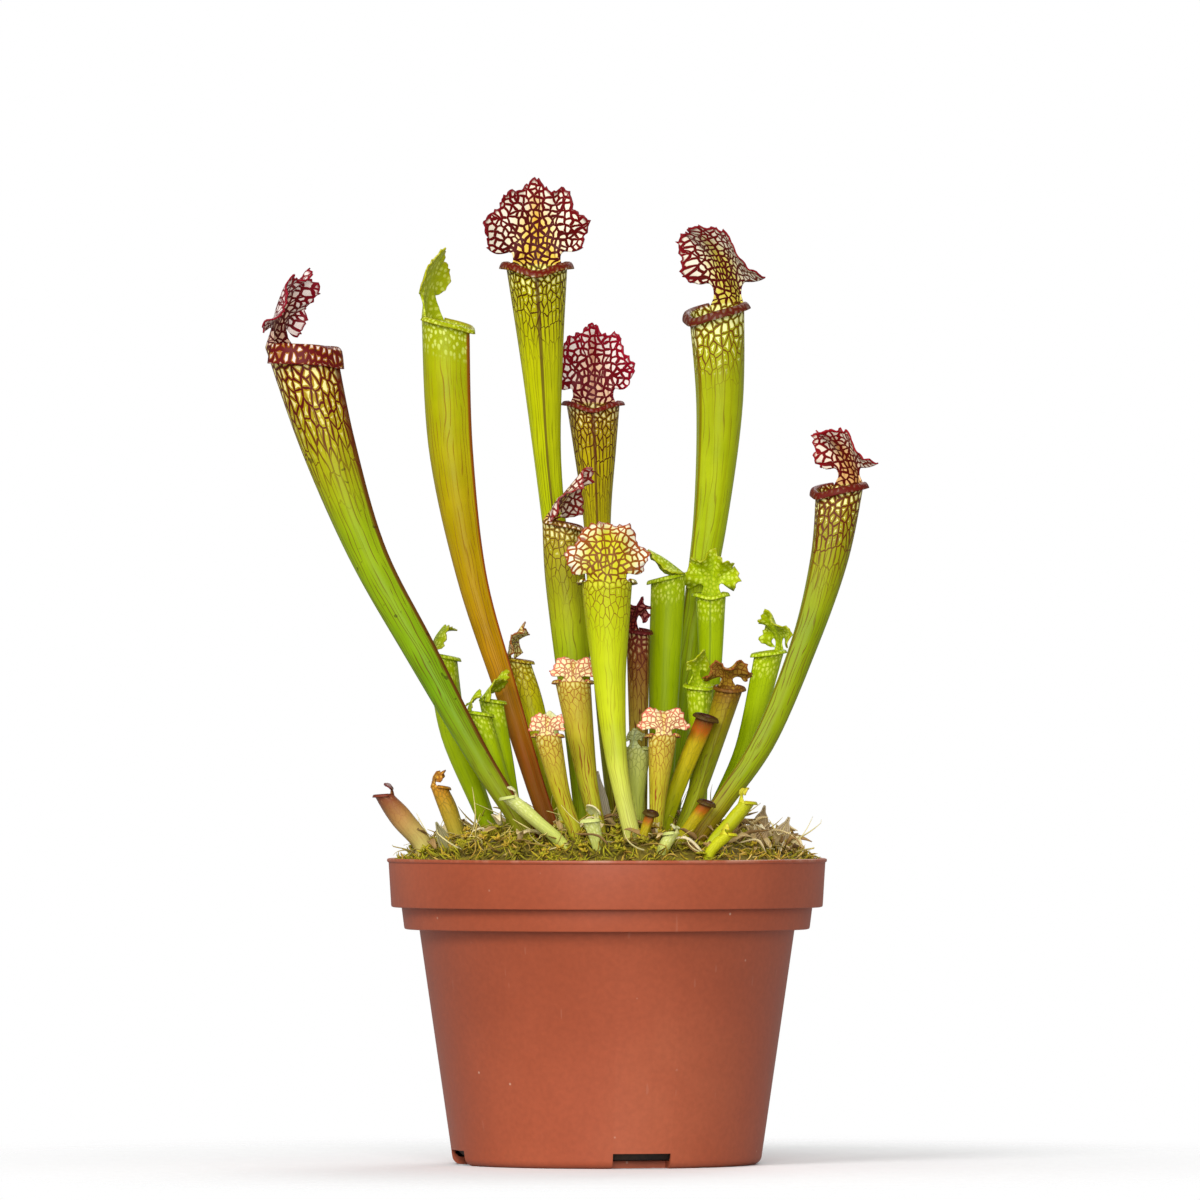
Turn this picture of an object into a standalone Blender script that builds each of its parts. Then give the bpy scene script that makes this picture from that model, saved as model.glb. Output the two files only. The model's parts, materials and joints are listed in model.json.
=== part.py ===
"""Trumpet pitcher plant in a round nursery pot.

Every leaf is one grown sheet: a hollow tube that rises from the buried crown, a lip rolled outwards
round the mouth, and a hood that carries on upwards from the back of the mouth. The front of the plant
faces -Y, +X is to its right and the pot stands on z = 0.
"""
import math

import bmesh
import bpy
from mathutils import Vector

MM = 0.001

# Pot, in millimetres
RIM_RADIUS = 60.0
RIM_TOP = 83.3
BEAD_HEIGHT = 1.1
BEAD_PROUD = 0.45
RIM_BAND_FOOT = 70.0
RIM_BAND_TAPER = 0.7
LOWER_BAND_RADIUS = 56.0
LOWER_BAND_FOOT = 64.0
LOWER_BAND_TAPER = 0.7
BODY_TOP_RADIUS = 51.1
BASE_RADIUS = 42.2
BASE_ROUNDING = 2.4
SOFT_EDGE = 0.4
WALL = 1.3
FLOOR = 2.0
POT_SIDES = 32

# Drain slots through the bottom edge
SLOT_WIDTH = 16.0
SLOT_HEIGHT = 4.1
SLOT_DEPTH = 7.0
SLOT_COUNT = 4
FIRST_SLOT_ANGLE = -77.0

# Fill
GAP = 0.3
HOLE_RISE = 3.0
HOLE_CLEARANCE = 0.6
SOIL_TOP = 74.0
MOSS_EDGE = 81.6
MOSS_RISE = 9.0
MOSS_LUMP = 1.1
MOSS_RINGS = 4
FILL_SIDES = 24
HOLE_SIDES = 6

# Crown and leaf roots
RHIZOME_TOP = 64.2
RHIZOME_RADIUS = 6.0
BRANCH_THINNING = 0.6
BRANCH_ROWS = 7
ROOT_FOOT = RHIZOME_TOP + GAP
ROOT_WIDEST = 4.0
CROWN_REACH = 45.0
SHALLOW_FOOT = 72.6

# Leaves
BLADE = 0.65
KEEL_SPREAD = 0.22
DIP_SPREAD = 0.55
POINT_SPREAD = 0.35
MOUTH_TURN_START = 0.72
DIP_START = 0.86
SCALLOP = 0.06
RUFFLE_POWER = 2.2
CUP = 0.018
HANG_START = 80.0
HANG_END = 170.0
LARGE_SIDES = 12
SMALL_SIDES = 8
TINY_SIDES = 6
TINY_MOUTH = 5.0
LARGE_ROWS = 7
SMALL_ROWS = 4
NECK_SHARE = 0.5
PINCH_SHARE = 0.4
CORNER_ROUNDING = 0.22
LARGE_HOOD_ROWS = ((0.17, 4), (0.36, 8), (0.57, 12), (0.79, 16), (1.0, 20))
SMALL_HOOD_ROWS = ((0.25, 2), (0.6, 6), (1.0, 10))

# Dry blades
DRY_ROWS = 4
DRY_ROOT_WIDTH = 0.28
DRY_FOLD = 0.14
DRY_HOLE_DEPTH = 12.0

COLOURS = {
    "net": (0.30, 0.36, 0.05),
    "yellow": (0.50, 0.42, 0.04),
    "green": (0.24, 0.42, 0.03),
    "pale": (0.55, 0.58, 0.26),
    "pink": (0.60, 0.42, 0.26),
    "red": (0.22, 0.04, 0.03),
    "brown": (0.20, 0.12, 0.05),
    "dry": (0.52, 0.40, 0.27),
    "terracotta": (0.41, 0.09, 0.045),
    "peat": (0.035, 0.022, 0.014),
    "moss": (0.17, 0.18, 0.04),
}


def hood(neck, fan, arch, lean=0.0, wide=1.0, spread=105.0, ruffle=1.2, waves=6, point=0.0,
         pinch=0.45, skew=0.0, fold=0.5, uneven=0.0):
    """Shape of one hood: lengths in millimetres, angles in degrees. arch bends its middle forwards,
    lean tips it as a whole, pinch narrows its neck, fold holds its sides in near the mouth, skew turns
    the fan to one side and uneven makes one half wider."""
    return {"neck": neck, "fan": fan, "arch": arch, "lean": lean, "wide": wide, "spread": spread,
            "ruffle": ruffle, "waves": waves, "point": point, "pinch": pinch, "skew": skew,
            "fold": fold, "uneven": uneven}


def leaf(name, kind, faces, depth, stem, hood_shape=None, tilt=8.0, lip=1.0, wing=0.4, dip=0.0,
         drape=0.3):
    """One leaf. faces is the way its mouth looks (0 right, 90 back, 180 left, 270 front), depth the y of
    root and mouth, and stem its centre line as (x, z, diameter) from the moss up to the mouth. wing is
    the height of the ridge down its front, dip the droop of the lip there and drape the lip's hang."""
    return {"name": name, "kind": kind, "faces": faces, "depth": depth, "stem": stem, "hood": hood_shape,
            "tilt": tilt, "lip": lip, "wing": wing, "dip": dip, "drape": drape}


LARGE_LEAVES = (
    leaf("pitcher_far_left", "net", 342, (-32, -24),
         ((-21, 88, 4.6), (-35, 111, 5.8), (-51, 140, 8.2), (-65, 166, 9.8), (-76, 196, 14.6),
          (-83, 221.5, 19.2)),
         hood(6, 18, 36, lean=12, wide=0.8, spread=96, ruffle=1.8, waves=7, pinch=0.3, fold=0.4,
              uneven=-0.45), tilt=2, lip=1.7, wing=0.8, dip=0.8, drape=4.4),
    leaf("pitcher_left_yellow", "yellow", 335, (-10, -3),
         ((-15, 88, 4.2), (-20, 104, 4.6), (-28, 130, 5.9), (-37, 160, 7.8), (-42.7, 195, 11.9),
          (-44, 229, 13.4)),
         hood(5, 14.6, 30, lean=-12, wide=0.62, spread=76, ruffle=0.9, waves=3, pinch=0, fold=0.35),
         tilt=14, lip=1.3, wing=0.8, dip=0.6),
    leaf("pitcher_tall_centre", "net", 270, (10, 4),
         ((-4, 88, 4.6), (-7, 120, 5.6), (-12, 155, 6.2), (-16, 190, 7.2), (-17.8, 219, 11.5),
          (-19.2, 245, 16.8)),
         hood(3, 20, 26, lean=-4, wide=0.79, spread=86, ruffle=1.4, waves=9, pinch=0, skew=-2,
              fold=0.35), tilt=3, lip=1.5, wing=0.8, dip=2.2, drape=0.9),
    leaf("pitcher_centre_back", "net", 270, (18, 17),
         ((3, 88, 4.4), (0, 120, 5.2), (-2, 150, 6.0), (-2.7, 176, 7.6), (-3.3, 195, 11.6),
          (-3.8, 207.5, 14.6)),
         hood(4, 17.5, 26, lean=-4, wide=0.7, spread=88, ruffle=1.3, waves=8, pinch=0, fold=0.3),
         tilt=3, lip=1.1, wing=0.7, dip=1.8),
    leaf("pitcher_centre_mid", "net", 345, (-13, -13),
         ((-6, 88, 4.6), (-8, 115, 6.4), (-9.8, 140, 9.4), (-11.6, 160, 10.6), (-12.5, 174, 10.4)),
         hood(5, 14, 24, lean=24, wide=0.7, spread=108, ruffle=1.4, waves=6, pinch=0.3, fold=0.4),
         tilt=11, lip=1.1, wing=0.6, dip=0.6),
    leaf("pitcher_front_centre", "net", 90, (-37, -31),
         ((7.5, 86, 4.6), (4.4, 100, 4.8), (2.2, 113, 6.2), (0.7, 132, 8.8), (0.1, 148, 12.0),
          (0, 158, 13.6)),
         hood(2.5, 15.5, 46, lean=0, wide=0.78, spread=90, ruffle=1.2, waves=8, pinch=0.05, fold=0.25),
         tilt=4, lip=1.1, wing=0.6, dip=0.6),
    leaf("pitcher_tall_right", "net", 222, (8, 8),
         ((17, 88, 4.6), (20, 120, 5.8), (24, 148, 7.2), (28.3, 176, 9.4), (30.8, 207, 12.8),
          (30, 233, 15.4)),
         hood(5.5, 21, 40, lean=4, wide=0.8, spread=78, ruffle=1.7, waves=6, pinch=0.25, fold=0.35,
              uneven=0.6), tilt=15, lip=1.7, wing=0.8, dip=1.2, drape=0.9),
    leaf("pitcher_far_right", "net", 222, (-33, -14),
         ((23.5, 87, 4.4), (31.4, 99, 5.4), (42.8, 116, 6.4), (53.6, 142, 7.4), (60.4, 165, 10.4),
          (63.2, 184, 13.2)),
         hood(4.5, 15, 40, lean=12, wide=0.8, spread=78, ruffle=1.7, waves=6, pinch=0.3, fold=0.35,
              uneven=0.4), tilt=10, lip=1.4, wing=0.7, dip=1.0, drape=0.8),
)

SMALL_LEAVES = (
    leaf("pitcher_green_mid", "green", 184, (-5, -6),
         ((15, 88, 4.4), (15.6, 124, 7.6), (16.9, 159.5, 9.4)),
         hood(3, 11, 30, lean=34, wide=0.62, ruffle=0.9, waves=5), tilt=14, lip=0.9),
    leaf("pitcher_green_frilled", "green", 268, (-3, -3),
         ((22.6, 88, 4.2), (27.5, 125, 5.6), (28.3, 155, 8.2)),
         hood(2.5, 9.4, 35, wide=0.85, spread=100, ruffle=1.8, waves=7, pinch=0.2, fold=0.3),
         tilt=4, lip=0.8, dip=0.8),
    leaf("pitcher_green_right", "green", 205, (6, -2),
         ((27, 90, 4.0), (37.5, 113, 5.2), (44.2, 139, 8.2)),
         hood(3, 9, 50, wide=0.9, ruffle=1.4, waves=6, uneven=0.3), tilt=8, lip=0.8),
    leaf("pitcher_withered", "brown", 285, (-21, -20),
         ((19.5, 88, 4.0), (24.5, 102, 5.0), (33.2, 129.5, 7.4)),
         hood(2, 7.4, 84, wide=0.95, spread=100, ruffle=1.5, waves=6), tilt=12, lip=0.5),
    leaf("pitcher_green_cup", "green", 292, (-12, -14),
         ((25, 88, 4.0), (25.2, 108, 4.6), (25.2, 130, 7.4)),
         hood(3, 6.0, 40, wide=0.62, spread=80, ruffle=0.6, waves=4, point=0.35), tilt=10, lip=0.6),
    leaf("pitcher_dark_red", "red", 312, (-9, -15),
         ((9, 88, 3.8), (8.6, 118, 5.2), (8.4, 145, 6.4)),
         hood(3.5, 5.8, 50, wide=0.85, ruffle=1.2, waves=6), tilt=10, lip=0.7),
    leaf("pitcher_pink_back_view", "pink", 96, (-31, -30),
         ((13.2, 87, 3.8), (13.6, 98, 4.4), (15, 116.5, 7.8)),
         hood(1.4, 7.6, 62, wide=1.0, spread=88, ruffle=1.0, waves=6, pinch=0.1, fold=0.2),
         tilt=4, lip=0.7),
    leaf("pitcher_grey_speckled", "pale", 60, (-24, -23),
         ((8, 88, 3.8), (8, 100, 4.4), (8.6, 113, 6.6)),
         hood(2.0, 3.8, 50, wide=0.9, spread=85, ruffle=0.6, waves=4), tilt=4, lip=0.6),
    leaf("pitcher_pink_striped", "pink", 90, (-26, -24),
         ((-1.8, 88, 3.9), (-5.4, 105, 5.6), (-9.2, 131, 9.6)),
         hood(1.2, 6.8, 62, wide=1.0, spread=86, ruffle=0.9, waves=6, pinch=0, fold=0.1),
         tilt=4, lip=0.7),
    leaf("pitcher_small_pink", "pink", 84, (-34, -36),
         ((-7.6, 87, 3.6), (-12.3, 101, 4.8), (-16, 116.5, 7.4)),
         hood(1.2, 5.8, 60, wide=0.96, spread=86, ruffle=0.9, waves=5, pinch=0, fold=0.1),
         tilt=4, lip=0.6),
    leaf("pitcher_green_behind_left", "green", 8, (4, 0),
         ((-32, 90, 4.2), (-41.8, 117, 7.0), (-45, 138, 7.8)),
         hood(2.5, 8.6, 62, lean=4, wide=0.85, ruffle=1.1, waves=5), tilt=10, lip=0.8),
    leaf("pitcher_green_left_low", "green", 10, (-21, -23.5),
         ((-23.7, 88, 3.6), (-29.6, 106, 4.8), (-34.9, 122.5, 6.4)),
         hood(2.5, 4.6, 65, wide=0.85, ruffle=0.8, waves=4), tilt=8, lip=0.6),
    leaf("pitcher_green_left_mid", "green", 355, (-16, -17),
         ((-24.5, 88, 3.6), (-27.8, 106, 5.2), (-31.6, 126, 6.4)),
         hood(1.6, 9, 14, lean=32, wide=0.7, spread=96, ruffle=1.2, waves=5, fold=0.3), tilt=8, lip=0.6),
    leaf("pitcher_netted_left", "net", 350, (-1, 3),
         ((-14, 88, 3.8), (-19.4, 119, 6.2), (-24.4, 137, 6.8)),
         hood(2.5, 8.4, 36, lean=8, wide=0.85, ruffle=1.2, waves=6), tilt=8, lip=0.7),
    leaf("pitcher_yellow_hook", "yellow", 20, (-41, -38),
         ((28, 87, 3.2), (33, 93, 3.6), (37.5, 98.5, 4.2)),
         hood(1.8, 3.4, 62, wide=0.8, spread=80, ruffle=0.4, waves=4), tilt=4, lip=0.5),
    leaf("pitcher_yellow_low", "yellow", 30, (-46, -46),
         ((27.2, 84, 2.8), (29.5, 87.5, 3.0), (32.5, 90, 3.6)),
         hood(1.0, 2.4, 60, wide=0.9, spread=75, ruffle=0.4, waves=3), tilt=4, lip=0.5),
    leaf("tiny_pale_left", "pale", 176, (-43, -43),
         ((-11, 86, 3.0), (-19, 94, 3.2), (-26, 100, 4.2)),
         hood(0.8, 3.4, 88, wide=0.75, spread=75, ruffle=0.3, waves=3), tilt=10, lip=0.4),
    leaf("tiny_pale_centre", "pale", 205, (-45, -46),
         ((-2, 85, 3.0), (-2.8, 89, 3.2), (-4.2, 93.8, 4.4)),
         hood(0.8, 4.8, 80, wide=0.9, spread=80, ruffle=0.3, waves=3), tilt=6, lip=0.5),
    leaf("tiny_pale_right", "pale", 160, (-46.5, -47.5),
         ((14.4, 84, 2.8), (15.6, 87, 3.0), (17.6, 90.4, 3.6)),
         hood(0.7, 2.7, 85, wide=0.85, spread=75, ruffle=0.3, waves=3), tilt=6, lip=0.4),
    leaf("tiny_pale_behind", "pale", 80, (-19, -21),
         ((-11, 90, 3.0), (-13, 104, 3.6), (-15.4, 119.5, 4.2)),
         hood(1.2, 2.8, 50, wide=0.9, spread=80, ruffle=0.4, waves=4), tilt=4, lip=0.4),
    leaf("tube_cut_tall", "green", 330, (-23, -28),
         ((14, 88, 4.4), (19.4, 104, 4.6), (26.7, 121.5, 5.2)),
         tilt=18, lip=0.7),
    leaf("tube_cut_short", "brown", 330, (-38.5, -40),
         ((18.5, 86, 3.2), (22.4, 92.5, 3.2), (26.8, 98.5, 3.4)),
         tilt=20, lip=0.6),
    leaf("tube_cut_tiny", "brown", 300, (-41.5, -42),
         ((9.4, 86, 2.6), (10.2, 91, 2.6), (11.8, 95.8, 2.8)),
         tilt=20, lip=0.5),
    leaf("bud_far_left", "brown", 170, (-13, -15),
         ((-50, 87, 4.8), (-55.4, 94, 5.8), (-60.2, 100.4, 5.0)),
         hood(0.8, 3.8, 84, wide=0.8, spread=70, ruffle=0.3, waves=3), tilt=4, lip=0.3),
    leaf("curled_left", "brown", 20, (-11, -12),
         ((-40.4, 87, 3.8), (-42.6, 95, 4.6), (-45.6, 102.6, 4.8)),
         hood(1.4, 4.4, 95, wide=0.8, spread=85, ruffle=1.0, waves=5), tilt=8, lip=0.4),
)

# Dry blades: name, kind, root and tip as (x, y, z), width at the middle, bow of the blade
DRY_BLADES = (
    ("bract_left", "dry", (-9, -6, 88), (-13.5, -8, 106), 4.2, 1.4),
    ("bract_centre", "dry", (1, -16, 88), (-2.6, -18, 107), 2.6, 1.0),
    ("dry_blade_right_tall", "dry", (40, 4, 84), (43, 2, 97.5), 5.0, 1.0),
    ("dry_blade_right_mid", "dry", (45, -8, 84), (49.5, -10, 94.5), 4.6, -1.2),
    ("dry_blade_right_low", "dry", (38, -21, 83.5), (44, -25, 93), 4.0, 0.7),
    ("dry_spike_left", "pale", (-42, -24, 83), (-46.2, -26, 93.2), 3.4, 0.9),
)

BRANCHES = (
    ((-44, -12), (-24, -16), (-6, -14), (10, -10), (26, -6)),
    ((-24, -16), (-26, -2), (-10, 4), (4, 12), (18, 7), (27, 6)),
    ((-12, -30), (2, -32), (14, -34), (26, -36)),
    ((2, -32), (6, -20), (10, -10)),
)


def smooth(x):
    """Ease from 0 to 1 with flat ends."""
    x = min(max(x, 0.0), 1.0)
    return x * x * (3.0 - 2.0 * x)


def through(points, t):
    """Smooth curve through points of any width, with t from 0 at the first to 1 at the last."""
    last = len(points) - 1
    place = min(max(t, 0.0), 1.0) * last
    i = min(int(place), last - 1)
    f = place - i
    before = points[max(i - 1, 0)]
    after = points[min(i + 2, last)]
    values = []
    for a, b, c, d in zip(before, points[i], points[i + 1], after):
        bend = (2 * a - 5 * b + 4 * c - d) * f * f + (3 * b - a - 3 * c + d) * f ** 3
        values.append(0.5 * (2 * b + (c - a) * f + bend))
    return values


def heading(degrees):
    """Level direction at an angle from +X towards +Y."""
    return Vector((math.cos(math.radians(degrees)), math.sin(math.radians(degrees)), 0.0))


def centre_line(shape):
    """Points (x, y, z, diameter) of a leaf from its foot on the crown to its mouth."""
    stem = shape["stem"]
    y_root, y_mouth = shape["depth"]
    low = stem[0][1]
    high = stem[-1][1]
    x, z, width = stem[0]
    buried = min(width, ROOT_WIDEST)
    foot = ROOT_FOOT if math.hypot(x, y_root) < CROWN_REACH else SHALLOW_FOOT
    points = [(x, y_root, foot, buried * 0.8), (x, y_root, (foot + z) / 2, buried)]
    for x, z, width in stem:
        share = (z - low) / (high - low)
        points.append((x, y_root + (y_mouth - y_root) * share, z, width))
    return points


def section(shape, line, t):
    """Centre, radius and the three directions of the tube's cross-section at t."""
    x, y, z, width = through(line, t)
    ahead = Vector(through(line, min(t + 0.02, 1.0))[:3])
    behind = Vector(through(line, max(t - 0.02, 0.0))[:3])
    along = (ahead - behind).normalized()
    faces = heading(shape["faces"])
    lean = math.radians(shape["tilt"])
    mouth_axis = Vector((0, 0, 1)) * math.cos(lean) + faces * math.sin(lean)
    axis = along.lerp(mouth_axis, smooth((t - MOUTH_TURN_START) / (1 - MOUTH_TURN_START))).normalized()
    forward = (faces - axis * faces.dot(axis)).normalized()
    return Vector((x, y, z)), width / 2, forward, axis.cross(forward), axis


def tube_point(shape, line, t, angle):
    """Point of the tube's outside at t, with the angle counted from the front of the leaf."""
    centre, radius, forward, side, axis = section(shape, line, t)
    turn = math.remainder(angle, math.tau)
    keel = shape["wing"] * math.exp(-(turn / KEEL_SPREAD) ** 2) * smooth(t / 0.4)
    droop = shape["dip"] * math.exp(-(turn / DIP_SPREAD) ** 2) * smooth((t - DIP_START) / (1 - DIP_START))
    reach = radius + keel
    return centre + (forward * math.cos(angle) + side * math.sin(angle)) * reach - axis * droop


def lip_point(shape, line, roll, angle):
    """Point of the lip, rolled outwards from the mouth by roll degrees."""
    _, _, forward, side, axis = section(shape, line, 1.0)
    out = forward * math.cos(angle) + side * math.sin(angle)
    bend = math.radians(roll)
    curl = shape["lip"] * 0.5
    edge = tube_point(shape, line, 1.0, angle)
    hang = shape["drape"] * smooth((roll - HANG_START) / (HANG_END - HANG_START))
    return edge + out * curl * (1 - math.cos(bend)) + axis * (curl * math.sin(bend) - hang)


def midrib(form, steps=40):
    """Forward reach, rise and slope along the hood's middle, at even steps of its length."""
    length = form["neck"] + form["fan"]
    forward = 0.0
    rise = 0.0
    rows = []
    for i in range(steps + 1):
        slope = math.radians(form["lean"] + form["arch"] * (i / steps) ** 1.3)
        rows.append((forward, rise, slope))
        forward += math.sin(slope) * length / steps
        rise += math.cos(slope) * length / steps
    return rows


def rib_place(form, rows, along):
    """Forward reach, rise and slope of the hood's middle at a length from the rim."""
    length = form["neck"] + form["fan"]
    share = along / length * (len(rows) - 1)
    if share < 0:
        slope = rows[0][2]
        return math.sin(slope) * along, math.cos(slope) * along, slope
    i = min(int(share), len(rows) - 2)
    f = share - i
    return tuple(a + (b - a) * f for a, b in zip(rows[i], rows[i + 1]))


def hood_point(shape, line, rows, half, across, up):
    """Point of the hood's back. across runs from -1 to 1, and up from 0 at the rim to 1 at the edge."""
    form = shape["hood"]
    centre, radius, forward, side, axis = section(shape, line, 1.0)
    back = centre - forward * radius
    angle = math.pi + across * half
    arc = (forward * math.cos(angle) + side * math.sin(angle)) * radius + forward * radius
    reach, rise, _ = rib_place(form, rows, form["neck"] * min(up / NECK_SHARE, 1.0))
    narrow = 1.0 - form["pinch"] * smooth(up / PINCH_SHARE)
    neck = back + forward * reach + axis * rise + arc * narrow

    turn = -across * math.radians(form["spread"]) * (1 - form["fold"] * (1 - smooth(up)))
    turn += math.radians(form["skew"]) * smooth(up)
    lobes = SCALLOP * math.cos((form["waves"] + 3) * turn)
    point = form["point"] * math.exp(-(turn / POINT_SPREAD) ** 2)
    span = form["fan"] * up * (1 + (lobes + point) * up) * (1 - CORNER_ROUNDING * up * across ** 8)
    wave = form["ruffle"] * up ** RUFFLE_POWER * math.sin(form["waves"] * turn + shape["faces"])
    cup = CUP * (span * math.sin(turn)) ** 2
    reach, rise, slope = rib_place(form, rows, form["neck"] + span * math.cos(turn))
    through_blade = forward * math.cos(slope) - axis * math.sin(slope)
    wide = form["wide"] * (1 + form["uneven"] * math.sin(turn / 2) * up)
    fan = back + forward * reach + axis * rise + side * (wide * span * math.sin(turn))
    fan = fan + through_blade * (wave + cup)
    return neck.lerp(fan, smooth(up / NECK_SHARE))


def stitch(low, high):
    """Triangles between two rows of (vertex, place), facing out where places run anticlockwise."""
    faces = []
    i = 0
    j = 0
    while i < len(low) - 1 or j < len(high) - 1:
        low_next = low[i + 1][1] if i < len(low) - 1 else math.inf
        high_next = high[j + 1][1] if j < len(high) - 1 else math.inf
        if low_next <= high_next:
            faces.append((low[i][0], low[i + 1][0], high[j][0]))
            i += 1
        else:
            faces.append((low[i][0], high[j + 1][0], high[j][0]))
            j += 1
    return faces


def leaf_mesh(shape, sides, tube_rows, lip_rolls, hood_rows):
    """The leaf's outer sheet: a tube closed at its foot, the lip and the hood."""
    line = centre_line(shape)
    mesh = bmesh.new()
    vertices = []

    def row(points):
        start = len(vertices)
        vertices.extend(mesh.verts.new(p * MM) for p in points)
        count = len(points)
        return [(start + i, i / (count - 1)) for i in range(count)]

    def ring(points):
        start = len(vertices)
        vertices.extend(mesh.verts.new(p * MM) for p in points)
        return [(start + i % sides, i / sides) for i in range(sides + 1)]

    angles = [math.tau * i / sides for i in range(sides)]
    faces = []
    rings = []
    for i in range(tube_rows + 1):
        t = i / tube_rows
        rings.append(ring([tube_point(shape, line, t, a) for a in angles]))
    for low, high in zip(rings, rings[1:]):
        faces.extend(stitch(low, high))
    foot = len(vertices)
    vertices.append(mesh.verts.new(Vector(line[0][:3]) * MM))
    faces.extend((foot, rings[0][i + 1][0], rings[0][i][0]) for i in range(sides))

    mouth = rings[-1]
    hooded = shape["hood"] is not None
    hood_steps = sides // 6 if sides > 8 else 1
    edge = sides // 2 - hood_steps
    if hooded:
        front = [i % sides for i in range(edge + 2 * hood_steps, edge + sides + 1)]
    else:
        front = list(range(sides)) + [0]
    low = [(mouth[i][0], n / (len(front) - 1)) for n, i in enumerate(front)]
    for roll in lip_rolls:
        if hooded:
            high = row([lip_point(shape, line, roll, angles[i]) for i in front])
        else:
            high = ring([lip_point(shape, line, roll, a) for a in angles])
        faces.extend(stitch(low, high))
        low = high

    if hooded:
        back = range(edge, edge + 2 * hood_steps + 1)
        half = math.tau * hood_steps / sides
        rib = midrib(shape["hood"])
        low = [(mouth[i][0], n / (2 * hood_steps)) for n, i in enumerate(back)]
        for up, steps in hood_rows:
            places = [2 * n / steps - 1 for n in range(steps + 1)]
            high = row([hood_point(shape, line, rib, half, a, up) for a in places])
            faces.extend(stitch(low, high))
            low = high

    for face in faces:
        mesh.faces.new([vertices[i] for i in face])
    return mesh, Vector(line[0][:3]) * MM


def material(kind, roughness=0.5):
    """One Principled material of its own for each object."""
    finish = bpy.data.materials.new(kind)
    finish.use_nodes = True
    shader = finish.node_tree.nodes["Principled BSDF"]
    shader.inputs["Base Color"].default_value = (*COLOURS[kind], 1.0)
    shader.inputs["Roughness"].default_value = roughness
    shader.inputs["Metallic"].default_value = 0.0
    finish.diffuse_color = (*COLOURS[kind], 1.0)
    return finish


def add_object(name, data, collection, kind=None, roughness=0.5):
    """Object in its collection, with its own material."""
    thing = bpy.data.objects.new(name, data)
    collection.objects.link(thing)
    if kind:
        data.materials.append(material(kind, roughness))
    return thing


def mesh_object(name, mesh, origin, collection, kind=None, roughness=0.5):
    """Object from a bmesh, with its origin moved to the given point."""
    bmesh.ops.translate(mesh, verts=mesh.verts, vec=-origin)
    data = bpy.data.meshes.new(name)
    mesh.to_mesh(data)
    mesh.free()
    thing = add_object(name, data, collection, kind, roughness)
    thing.location = origin
    return thing


def solidify(thing, thickness):
    """Give an open sheet its thickness, on the inner side."""
    modifier = thing.modifiers.new("Thickness", "SOLIDIFY")
    modifier.thickness = thickness * MM
    modifier.offset = -1.0


def turned(name, profile, sides, collection, kind=None):
    """Solid turned round Z from a profile that starts and ends on the axis."""
    mesh = bmesh.new()
    points = [mesh.verts.new((r * MM, 0.0, z * MM)) for r, z in profile]
    for a, b in zip(points, points[1:]):
        mesh.edges.new((a, b))
    thing = mesh_object(name, mesh, Vector(), collection, kind)
    screw = thing.modifiers.new("Turn", "SCREW")
    screw.steps = sides
    screw.render_steps = sides
    screw.use_merge_vertices = True
    screw.merge_threshold = 0.00001
    return thing


def bake(thing):
    """Replace an object's mesh with what its modifiers make of it."""
    depsgraph = bpy.context.evaluated_depsgraph_get()
    data = bpy.data.meshes.new_from_object(thing.evaluated_get(depsgraph))
    thing.modifiers.clear()
    thing.data = data
    return thing


def cut_with(thing, cutters):
    """Cut a thing with every object of a collection."""
    cut = thing.modifiers.new("Cut", "BOOLEAN")
    cut.operation = "DIFFERENCE"
    cut.operand_type = "COLLECTION"
    cut.collection = cutters
    cut.solver = "EXACT"


def hidden(thing):
    """Mark an object as a cutter only."""
    thing.hide_render = True
    thing.display_type = "WIRE"
    return thing


def inner_radius(z):
    """Inside radius of the pot's body at a height."""
    share = z / LOWER_BAND_FOOT
    return BASE_RADIUS + (BODY_TOP_RADIUS - BASE_RADIUS) * share - WALL


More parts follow.
